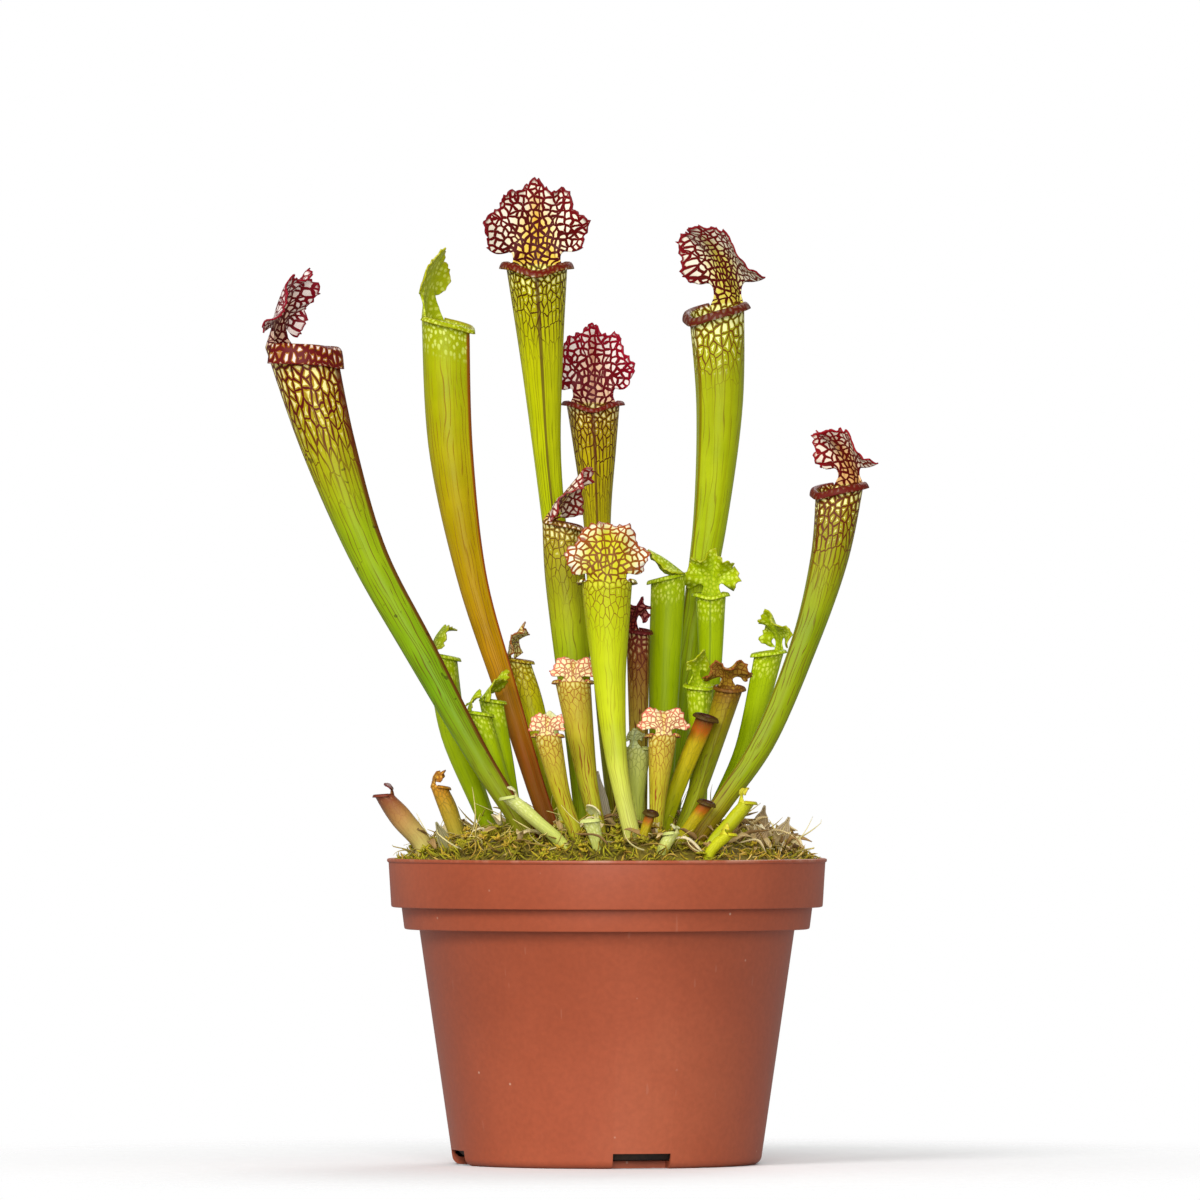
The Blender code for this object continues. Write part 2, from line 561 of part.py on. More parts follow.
def make_pot(collection, cutters):
    """Thin-walled pot with two bands, a bead and slots through its bottom edge."""
    rim_foot = RIM_RADIUS - BEAD_PROUD - RIM_BAND_TAPER
    lower_foot = LOWER_BAND_RADIUS - LOWER_BAND_TAPER
    bead_foot = RIM_TOP - BEAD_HEIGHT
    rounding = [(BASE_RADIUS - BASE_ROUNDING * (1 - math.cos(math.radians(a))),
                 BASE_ROUNDING * (1 - math.sin(math.radians(a)))) for a in (10, 50, 90)]
    profile = [
        (0.0, FLOOR),
        (inner_radius(FLOOR) - 1.0, FLOOR),
        (inner_radius(FLOOR + 1.0), FLOOR + 1.0),
        (inner_radius(LOWER_BAND_FOOT + WALL), LOWER_BAND_FOOT + WALL),
        (lower_foot - WALL, LOWER_BAND_FOOT + WALL),
        (LOWER_BAND_RADIUS - WALL, RIM_BAND_FOOT + WALL),
        (rim_foot - WALL, RIM_BAND_FOOT + WALL),
        (RIM_RADIUS - BEAD_PROUD - WALL, RIM_TOP - SOFT_EDGE),
        (RIM_RADIUS - BEAD_PROUD - WALL + SOFT_EDGE, RIM_TOP),
        (RIM_RADIUS - SOFT_EDGE, RIM_TOP),
        (RIM_RADIUS, RIM_TOP - SOFT_EDGE),
        (RIM_RADIUS - 0.1, bead_foot + 0.1),
        (RIM_RADIUS - BEAD_PROUD, bead_foot),
        (rim_foot, RIM_BAND_FOOT + SOFT_EDGE),
        (rim_foot - SOFT_EDGE, RIM_BAND_FOOT),
        (LOWER_BAND_RADIUS, RIM_BAND_FOOT),
        (lower_foot, LOWER_BAND_FOOT + SOFT_EDGE),
        (lower_foot - SOFT_EDGE, LOWER_BAND_FOOT),
        (BODY_TOP_RADIUS, LOWER_BAND_FOOT),
    ] + rounding + [(0.0, 0.0)]
    pot = turned("pot", profile, POT_SIDES, collection, "terracotta")
    for i in range(SLOT_COUNT):
        angle = math.radians(FIRST_SLOT_ANGLE + i * 360.0 / SLOT_COUNT)
        mesh = bmesh.new()
        bmesh.ops.create_cube(mesh, size=1.0)
        size = (SLOT_DEPTH * 2 * MM, SLOT_WIDTH * MM, SLOT_HEIGHT * 2 * MM)
        bmesh.ops.scale(mesh, verts=mesh.verts, vec=size)
        slot = hidden(mesh_object(f"slot_cutter_{i + 1}", mesh, Vector(), cutters))
        slot.location = Vector((math.cos(angle), math.sin(angle), 0.0)) * (BASE_RADIUS * MM)
        slot.rotation_euler = (0.0, 0.0, angle)
    cut_with(pot, cutters)
    return pot


def moss_height(x, y):
    """Rise of the moss over its edge, in millimetres, with its lumps."""
    radius = math.hypot(x, y) / (RIM_RADIUS - WALL)
    lumps = math.sin(x * 0.21 + 1.3) * math.sin(y * 0.24 + 0.4) + 0.6 * math.sin(x * 0.47 - y * 0.39)
    return (MOSS_RISE + MOSS_LUMP * lumps) * max(0.0, 1.0 - radius ** 4)


def make_moss(collection, cutters):
    """Lumpy cover of moss, lying on the soil and on the pot's inner steps."""
    wall = RIM_RADIUS - BEAD_PROUD - WALL - GAP - 0.4
    rim_foot = RIM_RADIUS - BEAD_PROUD - RIM_BAND_TAPER - WALL - GAP
    base = SOIL_TOP + GAP
    profile = [(wall * i / MOSS_RINGS, MOSS_EDGE) for i in range(MOSS_RINGS + 1)]
    profile += [(rim_foot, base), (0.0, base)]
    moss = bake(turned("moss", profile, FILL_SIDES, collection, "moss"))
    for vertex in moss.data.vertices:
        if vertex.co.z > (MOSS_EDGE - 0.1) * MM:
            vertex.co.z += moss_height(vertex.co.x / MM, vertex.co.y / MM) * MM
    cut_with(moss, cutters)
    return moss


def make_soil(collection, cutters):
    """Peat that fills the pot's body and its lower band."""
    lower = LOWER_BAND_RADIUS - LOWER_BAND_TAPER - WALL - GAP
    rim = RIM_RADIUS - BEAD_PROUD - RIM_BAND_TAPER - WALL - GAP
    step = LOWER_BAND_FOOT + WALL + GAP
    rim_step = RIM_BAND_FOOT + WALL + GAP
    profile = [
        (0.0, SOIL_TOP),
        (rim, SOIL_TOP),
        (rim, rim_step),
        (lower, rim_step),
        (lower, step),
        (inner_radius(step) - GAP, step),
        (inner_radius(FLOOR + 2.0) - GAP, FLOOR + 2.0),
        (inner_radius(FLOOR) - GAP - 1.6, FLOOR + GAP),
        (0.0, FLOOR + GAP),
    ]
    soil = turned("soil", profile, FILL_SIDES, collection, "peat")
    cut_with(soil, cutters)
    return soil


def make_branches(name, extra, collection):
    """The crown's branches joined to one solid, with extra added all round."""
    pieces = bpy.data.collections.new(name + "_branches")
    bpy.context.scene.collection.children.link(pieces)
    level = RHIZOME_TOP - RHIZOME_RADIUS
    for number, route in enumerate(BRANCHES):
        curve = bpy.data.curves.new(f"{name}_{number}", "CURVE")
        curve.dimensions = "3D"
        curve.bevel_depth = MM
        curve.bevel_resolution = 1
        curve.use_fill_caps = True
        line = curve.splines.new("POLY")
        line.points.add(BRANCH_ROWS - 1)
        for i in range(BRANCH_ROWS):
            t = i / (BRANCH_ROWS - 1)
            x, y = through(route, t)
            if i in (0, BRANCH_ROWS - 1):
                inner = route[1] if i == 0 else route[-2]
                outward = Vector((x - inner[0], y - inner[1])).normalized() * extra
                x += outward.x
                y += outward.y
            line.points[i].co = (x * MM, y * MM, level * MM, 1.0)
            line.points[i].radius = RHIZOME_RADIUS - BRANCH_THINNING * number + extra
        drawn = bpy.data.objects.new(curve.name, curve)
        pieces.objects.link(drawn)
        depsgraph = bpy.context.evaluated_depsgraph_get()
        data = bpy.data.meshes.new_from_object(drawn.evaluated_get(depsgraph))
        bpy.data.objects.remove(drawn)
        mesh = bmesh.new()
        mesh.from_mesh(data)
        bmesh.ops.remove_doubles(mesh, verts=mesh.verts, dist=0.00001)
        mesh.to_mesh(data)
        mesh.free()
        pieces.objects.link(bpy.data.objects.new(f"{name}_{number}", data))
    first = pieces.objects[0]
    pieces.objects.unlink(first)
    collection.objects.link(first)
    first.name = name
    join = first.modifiers.new("Join", "BOOLEAN")
    join.operation = "UNION"
    join.operand_type = "COLLECTION"
    join.collection = pieces
    join.solver = "EXACT"
    bake(first)
    for piece in list(pieces.objects):
        bpy.data.objects.remove(piece)
    bpy.data.collections.remove(pieces)
    return first


def make_leaf(shape, large, collection):
    """One leaf as a solid with its blade thickness."""
    if large:
        mesh, origin = leaf_mesh(shape, LARGE_SIDES, LARGE_ROWS, (75, 160), LARGE_HOOD_ROWS)
    else:
        sides = SMALL_SIDES if shape["stem"][-1][2] > TINY_MOUTH else TINY_SIDES
        mesh, origin = leaf_mesh(shape, sides, SMALL_ROWS, (110,), SMALL_HOOD_ROWS)
    thing = mesh_object(shape["name"], mesh, origin, collection, shape["kind"], 0.45)
    solidify(thing, BLADE)
    return thing


def chord(line, t):
    """Point at t of the straight runs between the centre line's points, where the tube has its rows."""
    place = min(t, 1.0) * (len(line) - 1)
    i = min(int(place), len(line) - 2)
    return Vector(line[i][:3]).lerp(Vector(line[i + 1][:3]), place - i)


def height_over_moss(line, t):
    """How far the middle of a leaf is above the moss at t."""
    x, y, z = chord(line, t)
    return z - MOSS_EDGE - moss_height(x, y)


def make_hole_cutter(shape, cutters):
    """Plain hole for a leaf's root, a gap wider all round than the leaf."""
    line = centre_line(shape)
    top = 0.0
    while top < 1.0 and height_over_moss(line, top) < HOLE_RISE:
        top += 0.02
    soil = 0.0
    while chord(line, soil).z < SOIL_TOP + GAP / 2:
        soil += 0.002
    moss_row = 2 / (len(line) - 1)
    top = max(top, moss_row + 0.02)
    mesh = bmesh.new()
    rings = []
    for i, t in enumerate((0.0, soil, moss_row, top)):
        _, radius, forward, side, _ = section(shape, line, t)
        reach = (radius + HOLE_CLEARANCE) / math.cos(math.pi / HOLE_SIDES)
        if i > 1:
            reach += shape["wing"]
        foot = Vector((0, 0, -GAP)) if i == 0 else Vector()
        points = []
        for n in range(HOLE_SIDES):
            angle = math.tau * n / HOLE_SIDES
            spoke = forward * math.cos(angle) + side * math.sin(angle)
            points.append(mesh.verts.new((chord(line, t) + spoke * reach + foot) * MM))
        rings.append(points)
    for low, high in zip(rings, rings[1:]):
        for n in range(HOLE_SIDES):
            m = (n + 1) % HOLE_SIDES
            mesh.faces.new((low[n], low[m], high[m], high[n]))
    mesh.faces.new(list(reversed(rings[0])))
    mesh.faces.new(rings[-1])
    return hidden(mesh_object(shape["name"] + "_hole", mesh, Vector(), cutters))


def make_dry_blade(name, kind, root, tip, width, bow, collection, cutters):
    """Pointed dry blade that stands in its own small hole in the moss."""
    root = Vector(root)
    tip = Vector(tip)
    length = tip - root
    side = Vector((0, 1, 0)).cross(length).normalized()
    facing = length.cross(side).normalized()
    mesh = bmesh.new()
    rows = []
    for i in range(DRY_ROWS):
        t = i / DRY_ROWS
        swell = math.sin(math.pi * min(t * 1.15, 1.0)) ** 0.8
        half = width * (DRY_ROOT_WIDTH + (1 - DRY_ROOT_WIDTH) * swell) / 2
        middle = root + length * t + facing * bow * math.sin(math.pi * t)
        fold = facing * width * DRY_FOLD
        points = (middle - side * half, middle + fold, middle + side * half)
        rows.append([mesh.verts.new(p * MM) for p in points])
    point = mesh.verts.new(tip * MM)
    for low, high in zip(rows, rows[1:]):
        for n in range(2):
            mesh.faces.new((low[n], low[n + 1], high[n + 1]))
            mesh.faces.new((low[n], high[n + 1], high[n]))
    for n in range(2):
        mesh.faces.new((rows[-1][n], rows[-1][n + 1], point))
    blade = mesh_object(name, mesh, root * MM, collection, kind, 0.7)
    solidify(blade, BLADE)

    mesh = bmesh.new()
    reach = (width / 2 + abs(bow) + HOLE_CLEARANCE) * MM
    bmesh.ops.create_cone(mesh, cap_ends=True, segments=HOLE_SIDES, radius1=reach, radius2=reach,
                          depth=DRY_HOLE_DEPTH * MM)
    hole = hidden(mesh_object(name + "_hole", mesh, Vector(), cutters))
    along = length.normalized()
    hole.location = (root + along * (DRY_HOLE_DEPTH / 2 - GAP)) * MM
    hole.rotation_euler = along.to_track_quat("Z", "Y").to_euler()


def main():
    for thing in list(bpy.data.objects):
        bpy.data.objects.remove(thing)
    scene = bpy.context.scene.collection
    parts = bpy.data.collections.new("potted_pitcher_plant")
    slots = bpy.data.collections.new("slot_cutters")
    holes = bpy.data.collections.new("hole_cutters")
    for group in (parts, slots, holes):
        scene.children.link(group)

    make_pot(parts, slots)
    rhizome = make_branches("rhizome", 0.0, parts)
    rhizome.data.materials.append(material("brown", 0.8))
    for shape in LARGE_LEAVES:
        make_leaf(shape, True, parts)
        make_hole_cutter(shape, holes)
    for shape in SMALL_LEAVES:
        make_leaf(shape, False, parts)
        make_hole_cutter(shape, holes)
    for blade in DRY_BLADES:
        make_dry_blade(*blade, parts, holes)
    make_moss(parts, holes)
    hidden(make_branches("rhizome_space", GAP + 0.1, holes))
    make_soil(parts, holes)


main()
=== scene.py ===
"""Looks of the potted pitcher plant: fine leaves with nets of veins, moss shoots, pot plastic and light.

The fine leaves, blades and pot are drawn from the same curves and the same table as the solids that they
stand for, only with more rows and columns.
"""
import json
import math
import random

import bmesh
import bpy
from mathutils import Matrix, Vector

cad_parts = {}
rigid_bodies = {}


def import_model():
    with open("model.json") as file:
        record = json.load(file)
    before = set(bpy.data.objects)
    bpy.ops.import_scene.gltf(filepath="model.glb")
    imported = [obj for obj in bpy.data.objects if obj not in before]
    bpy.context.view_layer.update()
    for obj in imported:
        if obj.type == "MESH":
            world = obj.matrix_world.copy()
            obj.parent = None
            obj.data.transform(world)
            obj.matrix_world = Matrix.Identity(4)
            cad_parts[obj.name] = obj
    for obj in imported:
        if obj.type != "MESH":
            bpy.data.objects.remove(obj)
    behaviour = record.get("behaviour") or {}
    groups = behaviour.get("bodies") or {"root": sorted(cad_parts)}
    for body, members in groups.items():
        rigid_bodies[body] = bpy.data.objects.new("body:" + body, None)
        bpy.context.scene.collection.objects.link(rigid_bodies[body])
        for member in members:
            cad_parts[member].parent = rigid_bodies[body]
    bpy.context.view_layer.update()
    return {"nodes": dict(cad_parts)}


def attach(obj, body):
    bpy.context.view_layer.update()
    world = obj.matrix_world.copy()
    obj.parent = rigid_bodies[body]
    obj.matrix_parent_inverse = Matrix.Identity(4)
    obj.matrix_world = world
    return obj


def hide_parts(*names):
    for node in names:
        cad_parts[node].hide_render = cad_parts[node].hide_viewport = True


MM = 0.001

# Pot, in millimetres
RIM_RADIUS = 60.0
RIM_TOP = 83.3
BEAD_HEIGHT = 1.1
BEAD_PROUD = 0.45
RIM_BAND_FOOT = 70.0
RIM_BAND_TAPER = 0.7
LOWER_BAND_RADIUS = 56.0
LOWER_BAND_FOOT = 64.0
LOWER_BAND_TAPER = 0.7
BODY_TOP_RADIUS = 51.1
BASE_RADIUS = 42.2
BASE_ROUNDING = 2.4
WALL = 1.3
FLOOR = 2.0

# Drain slots through the bottom edge
SLOT_WIDTH = 16.0
SLOT_HEIGHT = 4.1
SLOT_DEPTH = 7.0
SLOT_COUNT = 4
FIRST_SLOT_ANGLE = -77.0

# Fill
GAP = 0.3
MOSS_EDGE = 81.6
MOSS_RISE = 9.0
MOSS_LUMP = 1.1

# Crown and leaf roots
RHIZOME_TOP = 64.2
ROOT_FOOT = RHIZOME_TOP + GAP
ROOT_WIDEST = 4.0
CROWN_REACH = 45.0
SHALLOW_FOOT = 72.6

# Leaves
KEEL_SPREAD = 0.22
DIP_SPREAD = 0.55
POINT_SPREAD = 0.35
MOUTH_TURN_START = 0.72
DIP_START = 0.86
SCALLOP = 0.06
RUFFLE_POWER = 2.2
CUP = 0.018
HANG_START = 80.0
HANG_END = 170.0
TINY_MOUTH = 5.0
NECK_SHARE = 0.5
PINCH_SHARE = 0.4
CORNER_ROUNDING = 0.22


# Fine pieces
FINE_BLADE = 0.4
LIP_STEPS = 9
CELL_STRETCH = 0.16
HOOD_CELL = 1.9
HOOD_FILL = 2.2
MOSS_SHOOTS = 5200
MOSS_HEADS = 420
STRAWS = 420
DRY_FLAKES = 420

# Camera, in millimetres
CAMERA_DISTANCE = 3500.0
CAMERA_X = -1.9
CAMERA_Z = 120.0
AIM_Z = 153.7
FRAME_WIDTH = 327.2


def hood(neck, fan, arch, lean=0.0, wide=1.0, spread=105.0, ruffle=1.2, waves=6, point=0.0,
         pinch=0.45, skew=0.0, fold=0.5, uneven=0.0):
    """Shape of one hood: lengths in millimetres, angles in degrees. arch bends its middle forwards,
    lean tips it as a whole, pinch narrows its neck, fold holds its sides in near the mouth, skew turns
    the fan to one side and uneven makes one half wider."""
    return {"neck": neck, "fan": fan, "arch": arch, "lean": lean, "wide": wide, "spread": spread,
            "ruffle": ruffle, "waves": waves, "point": point, "pinch": pinch, "skew": skew,
            "fold": fold, "uneven": uneven}


def leaf(name, kind, faces, depth, stem, hood_shape=None, tilt=8.0, lip=1.0, wing=0.4, dip=0.0,
         drape=0.3):
    """One leaf. faces is the way its mouth looks (0 right, 90 back, 180 left, 270 front), depth the y of
    root and mouth, and stem its centre line as (x, z, diameter) from the moss up to the mouth. wing is
    the height of the ridge down its front, dip the droop of the lip there and drape the lip's hang."""
    return {"name": name, "kind": kind, "faces": faces, "depth": depth, "stem": stem, "hood": hood_shape,
            "tilt": tilt, "lip": lip, "wing": wing, "dip": dip, "drape": drape}


LARGE_LEAVES = (
    leaf("pitcher_far_left", "net", 342, (-32, -24),
         ((-21, 88, 4.6), (-35, 111, 5.8), (-51, 140, 8.2), (-65, 166, 9.8), (-76, 196, 14.6),
          (-83, 221.5, 19.2)),
         hood(6, 18, 36, lean=12, wide=0.8, spread=96, ruffle=1.8, waves=7, pinch=0.3, fold=0.4,
              uneven=-0.45), tilt=2, lip=1.7, wing=0.8, dip=0.8, drape=4.4),
    leaf("pitcher_left_yellow", "yellow", 335, (-10, -3),
         ((-15, 88, 4.2), (-20, 104, 4.6), (-28, 130, 5.9), (-37, 160, 7.8), (-42.7, 195, 11.9),
          (-44, 229, 13.4)),
         hood(5, 14.6, 30, lean=-12, wide=0.62, spread=76, ruffle=0.9, waves=3, pinch=0, fold=0.35),
         tilt=14, lip=1.3, wing=0.8, dip=0.6),
    leaf("pitcher_tall_centre", "net", 270, (10, 4),
         ((-4, 88, 4.6), (-7, 120, 5.6), (-12, 155, 6.2), (-16, 190, 7.2), (-17.8, 219, 11.5),
          (-19.2, 245, 16.8)),
         hood(3, 20, 26, lean=-4, wide=0.79, spread=86, ruffle=1.4, waves=9, pinch=0, skew=-2,
              fold=0.35), tilt=3, lip=1.5, wing=0.8, dip=2.2, drape=0.9),
    leaf("pitcher_centre_back", "net", 270, (18, 17),
         ((3, 88, 4.4), (0, 120, 5.2), (-2, 150, 6.0), (-2.7, 176, 7.6), (-3.3, 195, 11.6),
          (-3.8, 207.5, 14.6)),
         hood(4, 17.5, 26, lean=-4, wide=0.7, spread=88, ruffle=1.3, waves=8, pinch=0, fold=0.3),
         tilt=3, lip=1.1, wing=0.7, dip=1.8),
    leaf("pitcher_centre_mid", "net", 345, (-13, -13),
         ((-6, 88, 4.6), (-8, 115, 6.4), (-9.8, 140, 9.4), (-11.6, 160, 10.6), (-12.5, 174, 10.4)),
         hood(5, 14, 24, lean=24, wide=0.7, spread=108, ruffle=1.4, waves=6, pinch=0.3, fold=0.4),
         tilt=11, lip=1.1, wing=0.6, dip=0.6),
    leaf("pitcher_front_centre", "net", 90, (-37, -31),
         ((7.5, 86, 4.6), (4.4, 100, 4.8), (2.2, 113, 6.2), (0.7, 132, 8.8), (0.1, 148, 12.0),
          (0, 158, 13.6)),
         hood(2.5, 15.5, 46, lean=0, wide=0.78, spread=90, ruffle=1.2, waves=8, pinch=0.05, fold=0.25),
         tilt=4, lip=1.1, wing=0.6, dip=0.6),
    leaf("pitcher_tall_right", "net", 222, (8, 8),
         ((17, 88, 4.6), (20, 120, 5.8), (24, 148, 7.2), (28.3, 176, 9.4), (30.8, 207, 12.8),
          (30, 233, 15.4)),
         hood(5.5, 21, 40, lean=4, wide=0.8, spread=78, ruffle=1.7, waves=6, pinch=0.25, fold=0.35,
              uneven=0.6), tilt=15, lip=1.7, wing=0.8, dip=1.2, drape=0.9),
    leaf("pitcher_far_right", "net", 222, (-33, -14),
         ((23.5, 87, 4.4), (31.4, 99, 5.4), (42.8, 116, 6.4), (53.6, 142, 7.4), (60.4, 165, 10.4),
          (63.2, 184, 13.2)),
         hood(4.5, 15, 40, lean=12, wide=0.8, spread=78, ruffle=1.7, waves=6, pinch=0.3, fold=0.35,
              uneven=0.4), tilt=10, lip=1.4, wing=0.7, dip=1.0, drape=0.8),
)

SMALL_LEAVES = (
    leaf("pitcher_green_mid", "green", 184, (-5, -6),
         ((15, 88, 4.4), (15.6, 124, 7.6), (16.9, 159.5, 9.4)),
         hood(3, 11, 30, lean=34, wide=0.62, ruffle=0.9, waves=5), tilt=14, lip=0.9),
    leaf("pitcher_green_frilled", "green", 268, (-3, -3),
         ((22.6, 88, 4.2), (27.5, 125, 5.6), (28.3, 155, 8.2)),
         hood(2.5, 9.4, 35, wide=0.85, spread=100, ruffle=1.8, waves=7, pinch=0.2, fold=0.3),
         tilt=4, lip=0.8, dip=0.8),
    leaf("pitcher_green_right", "green", 205, (6, -2),
         ((27, 90, 4.0), (37.5, 113, 5.2), (44.2, 139, 8.2)),
         hood(3, 9, 50, wide=0.9, ruffle=1.4, waves=6, uneven=0.3), tilt=8, lip=0.8),
    leaf("pitcher_withered", "brown", 285, (-21, -20),
         ((19.5, 88, 4.0), (24.5, 102, 5.0), (33.2, 129.5, 7.4)),
         hood(2, 7.4, 84, wide=0.95, spread=100, ruffle=1.5, waves=6), tilt=12, lip=0.5),
    leaf("pitcher_green_cup", "green", 292, (-12, -14),
         ((25, 88, 4.0), (25.2, 108, 4.6), (25.2, 130, 7.4)),
         hood(3, 6.0, 40, wide=0.62, spread=80, ruffle=0.6, waves=4, point=0.35), tilt=10, lip=0.6),
    leaf("pitcher_dark_red", "red", 312, (-9, -15),
         ((9, 88, 3.8), (8.6, 118, 5.2), (8.4, 145, 6.4)),
         hood(3.5, 5.8, 50, wide=0.85, ruffle=1.2, waves=6), tilt=10, lip=0.7),
    leaf("pitcher_pink_back_view", "pink", 96, (-31, -30),
         ((13.2, 87, 3.8), (13.6, 98, 4.4), (15, 116.5, 7.8)),
         hood(1.4, 7.6, 62, wide=1.0, spread=88, ruffle=1.0, waves=6, pinch=0.1, fold=0.2),
         tilt=4, lip=0.7),
    leaf("pitcher_grey_speckled", "pale", 60, (-24, -23),
         ((8, 88, 3.8), (8, 100, 4.4), (8.6, 113, 6.6)),
         hood(2.0, 3.8, 50, wide=0.9, spread=85, ruffle=0.6, waves=4), tilt=4, lip=0.6),
    leaf("pitcher_pink_striped", "pink", 90, (-26, -24),
         ((-1.8, 88, 3.9), (-5.4, 105, 5.6), (-9.2, 131, 9.6)),
         hood(1.2, 6.8, 62, wide=1.0, spread=86, ruffle=0.9, waves=6, pinch=0, fold=0.1),
         tilt=4, lip=0.7),
    leaf("pitcher_small_pink", "pink", 84, (-34, -36),
         ((-7.6, 87, 3.6), (-12.3, 101, 4.8), (-16, 116.5, 7.4)),
         hood(1.2, 5.8, 60, wide=0.96, spread=86, ruffle=0.9, waves=5, pinch=0, fold=0.1),
         tilt=4, lip=0.6),
    leaf("pitcher_green_behind_left", "green", 8, (4, 0),
         ((-32, 90, 4.2), (-41.8, 117, 7.0), (-45, 138, 7.8)),
         hood(2.5, 8.6, 62, lean=4, wide=0.85, ruffle=1.1, waves=5), tilt=10, lip=0.8),
    leaf("pitcher_green_left_low", "green", 10, (-21, -23.5),
         ((-23.7, 88, 3.6), (-29.6, 106, 4.8), (-34.9, 122.5, 6.4)),
         hood(2.5, 4.6, 65, wide=0.85, ruffle=0.8, waves=4), tilt=8, lip=0.6),
    leaf("pitcher_green_left_mid", "green", 355, (-16, -17),
         ((-24.5, 88, 3.6), (-27.8, 106, 5.2), (-31.6, 126, 6.4)),
         hood(1.6, 9, 14, lean=32, wide=0.7, spread=96, ruffle=1.2, waves=5, fold=0.3), tilt=8, lip=0.6),
    leaf("pitcher_netted_left", "net", 350, (-1, 3),
         ((-14, 88, 3.8), (-19.4, 119, 6.2), (-24.4, 137, 6.8)),
         hood(2.5, 8.4, 36, lean=8, wide=0.85, ruffle=1.2, waves=6), tilt=8, lip=0.7),
    leaf("pitcher_yellow_hook", "yellow", 20, (-41, -38),
         ((28, 87, 3.2), (33, 93, 3.6), (37.5, 98.5, 4.2)),
         hood(1.8, 3.4, 62, wide=0.8, spread=80, ruffle=0.4, waves=4), tilt=4, lip=0.5),
    leaf("pitcher_yellow_low", "yellow", 30, (-46, -46),
         ((27.2, 84, 2.8), (29.5, 87.5, 3.0), (32.5, 90, 3.6)),
         hood(1.0, 2.4, 60, wide=0.9, spread=75, ruffle=0.4, waves=3), tilt=4, lip=0.5),
    leaf("tiny_pale_left", "pale", 176, (-43, -43),
         ((-11, 86, 3.0), (-19, 94, 3.2), (-26, 100, 4.2)),
         hood(0.8, 3.4, 88, wide=0.75, spread=75, ruffle=0.3, waves=3), tilt=10, lip=0.4),
    leaf("tiny_pale_centre", "pale", 205, (-45, -46),
         ((-2, 85, 3.0), (-2.8, 89, 3.2), (-4.2, 93.8, 4.4)),
         hood(0.8, 4.8, 80, wide=0.9, spread=80, ruffle=0.3, waves=3), tilt=6, lip=0.5),
    leaf("tiny_pale_right", "pale", 160, (-46.5, -47.5),
         ((14.4, 84, 2.8), (15.6, 87, 3.0), (17.6, 90.4, 3.6)),
         hood(0.7, 2.7, 85, wide=0.85, spread=75, ruffle=0.3, waves=3), tilt=6, lip=0.4),
    leaf("tiny_pale_behind", "pale", 80, (-19, -21),
         ((-11, 90, 3.0), (-13, 104, 3.6), (-15.4, 119.5, 4.2)),
         hood(1.2, 2.8, 50, wide=0.9, spread=80, ruffle=0.4, waves=4), tilt=4, lip=0.4),
    leaf("tube_cut_tall", "green", 330, (-23, -28),
         ((14, 88, 4.4), (19.4, 104, 4.6), (26.7, 121.5, 5.2)),
         tilt=18, lip=0.7),
    leaf("tube_cut_short", "brown", 330, (-38.5, -40),
         ((18.5, 86, 3.2), (22.4, 92.5, 3.2), (26.8, 98.5, 3.4)),
         tilt=20, lip=0.6),
    leaf("tube_cut_tiny", "brown", 300, (-41.5, -42),
         ((9.4, 86, 2.6), (10.2, 91, 2.6), (11.8, 95.8, 2.8)),
         tilt=20, lip=0.5),
    leaf("bud_far_left", "brown", 170, (-13, -15),
         ((-50, 87, 4.8), (-55.4, 94, 5.8), (-60.2, 100.4, 5.0)),
         hood(0.8, 3.8, 84, wide=0.8, spread=70, ruffle=0.3, waves=3), tilt=4, lip=0.3),
    leaf("curled_left", "brown", 20, (-11, -12),
         ((-40.4, 87, 3.8), (-42.6, 95, 4.6), (-45.6, 102.6, 4.8)),
         hood(1.4, 4.4, 95, wide=0.8, spread=85, ruffle=1.0, waves=5), tilt=8, lip=0.4),
)

# Dry blades: name, kind, root and tip as (x, y, z), width at the middle, bow of the blade
DRY_BLADES = (
    ("bract_left", "dry", (-9, -6, 88), (-13.5, -8, 106), 4.2, 1.4),
    ("bract_centre", "dry", (1, -16, 88), (-2.6, -18, 107), 2.6, 1.0),
    ("dry_blade_right_tall", "dry", (40, 4, 84), (43, 2, 97.5), 5.0, 1.0),
    ("dry_blade_right_mid", "dry", (45, -8, 84), (49.5, -10, 94.5), 4.6, -1.2),
    ("dry_blade_right_low", "dry", (38, -21, 83.5), (44, -25, 93), 4.0, 0.7),
    ("dry_spike_left", "pale", (-42, -24, 83), (-46.2, -26, 93.2), 3.4, 0.9),
)


def smooth(x):
    """Ease from 0 to 1 with flat ends."""
    x = min(max(x, 0.0), 1.0)
    return x * x * (3.0 - 2.0 * x)


def through(points, t):
    """Smooth curve through points of any width, with t from 0 at the first to 1 at the last."""
    last = len(points) - 1
    place = min(max(t, 0.0), 1.0) * last
    i = min(int(place), last - 1)
    f = place - i
    before = points[max(i - 1, 0)]
    after = points[min(i + 2, last)]
    values = []
    for a, b, c, d in zip(before, points[i], points[i + 1], after):
        bend = (2 * a - 5 * b + 4 * c - d) * f * f + (3 * b - a - 3 * c + d) * f ** 3
        values.append(0.5 * (2 * b + (c - a) * f + bend))
    return values


def heading(degrees):
    """Level direction at an angle from +X towards +Y."""
    return Vector((math.cos(math.radians(degrees)), math.sin(math.radians(degrees)), 0.0))


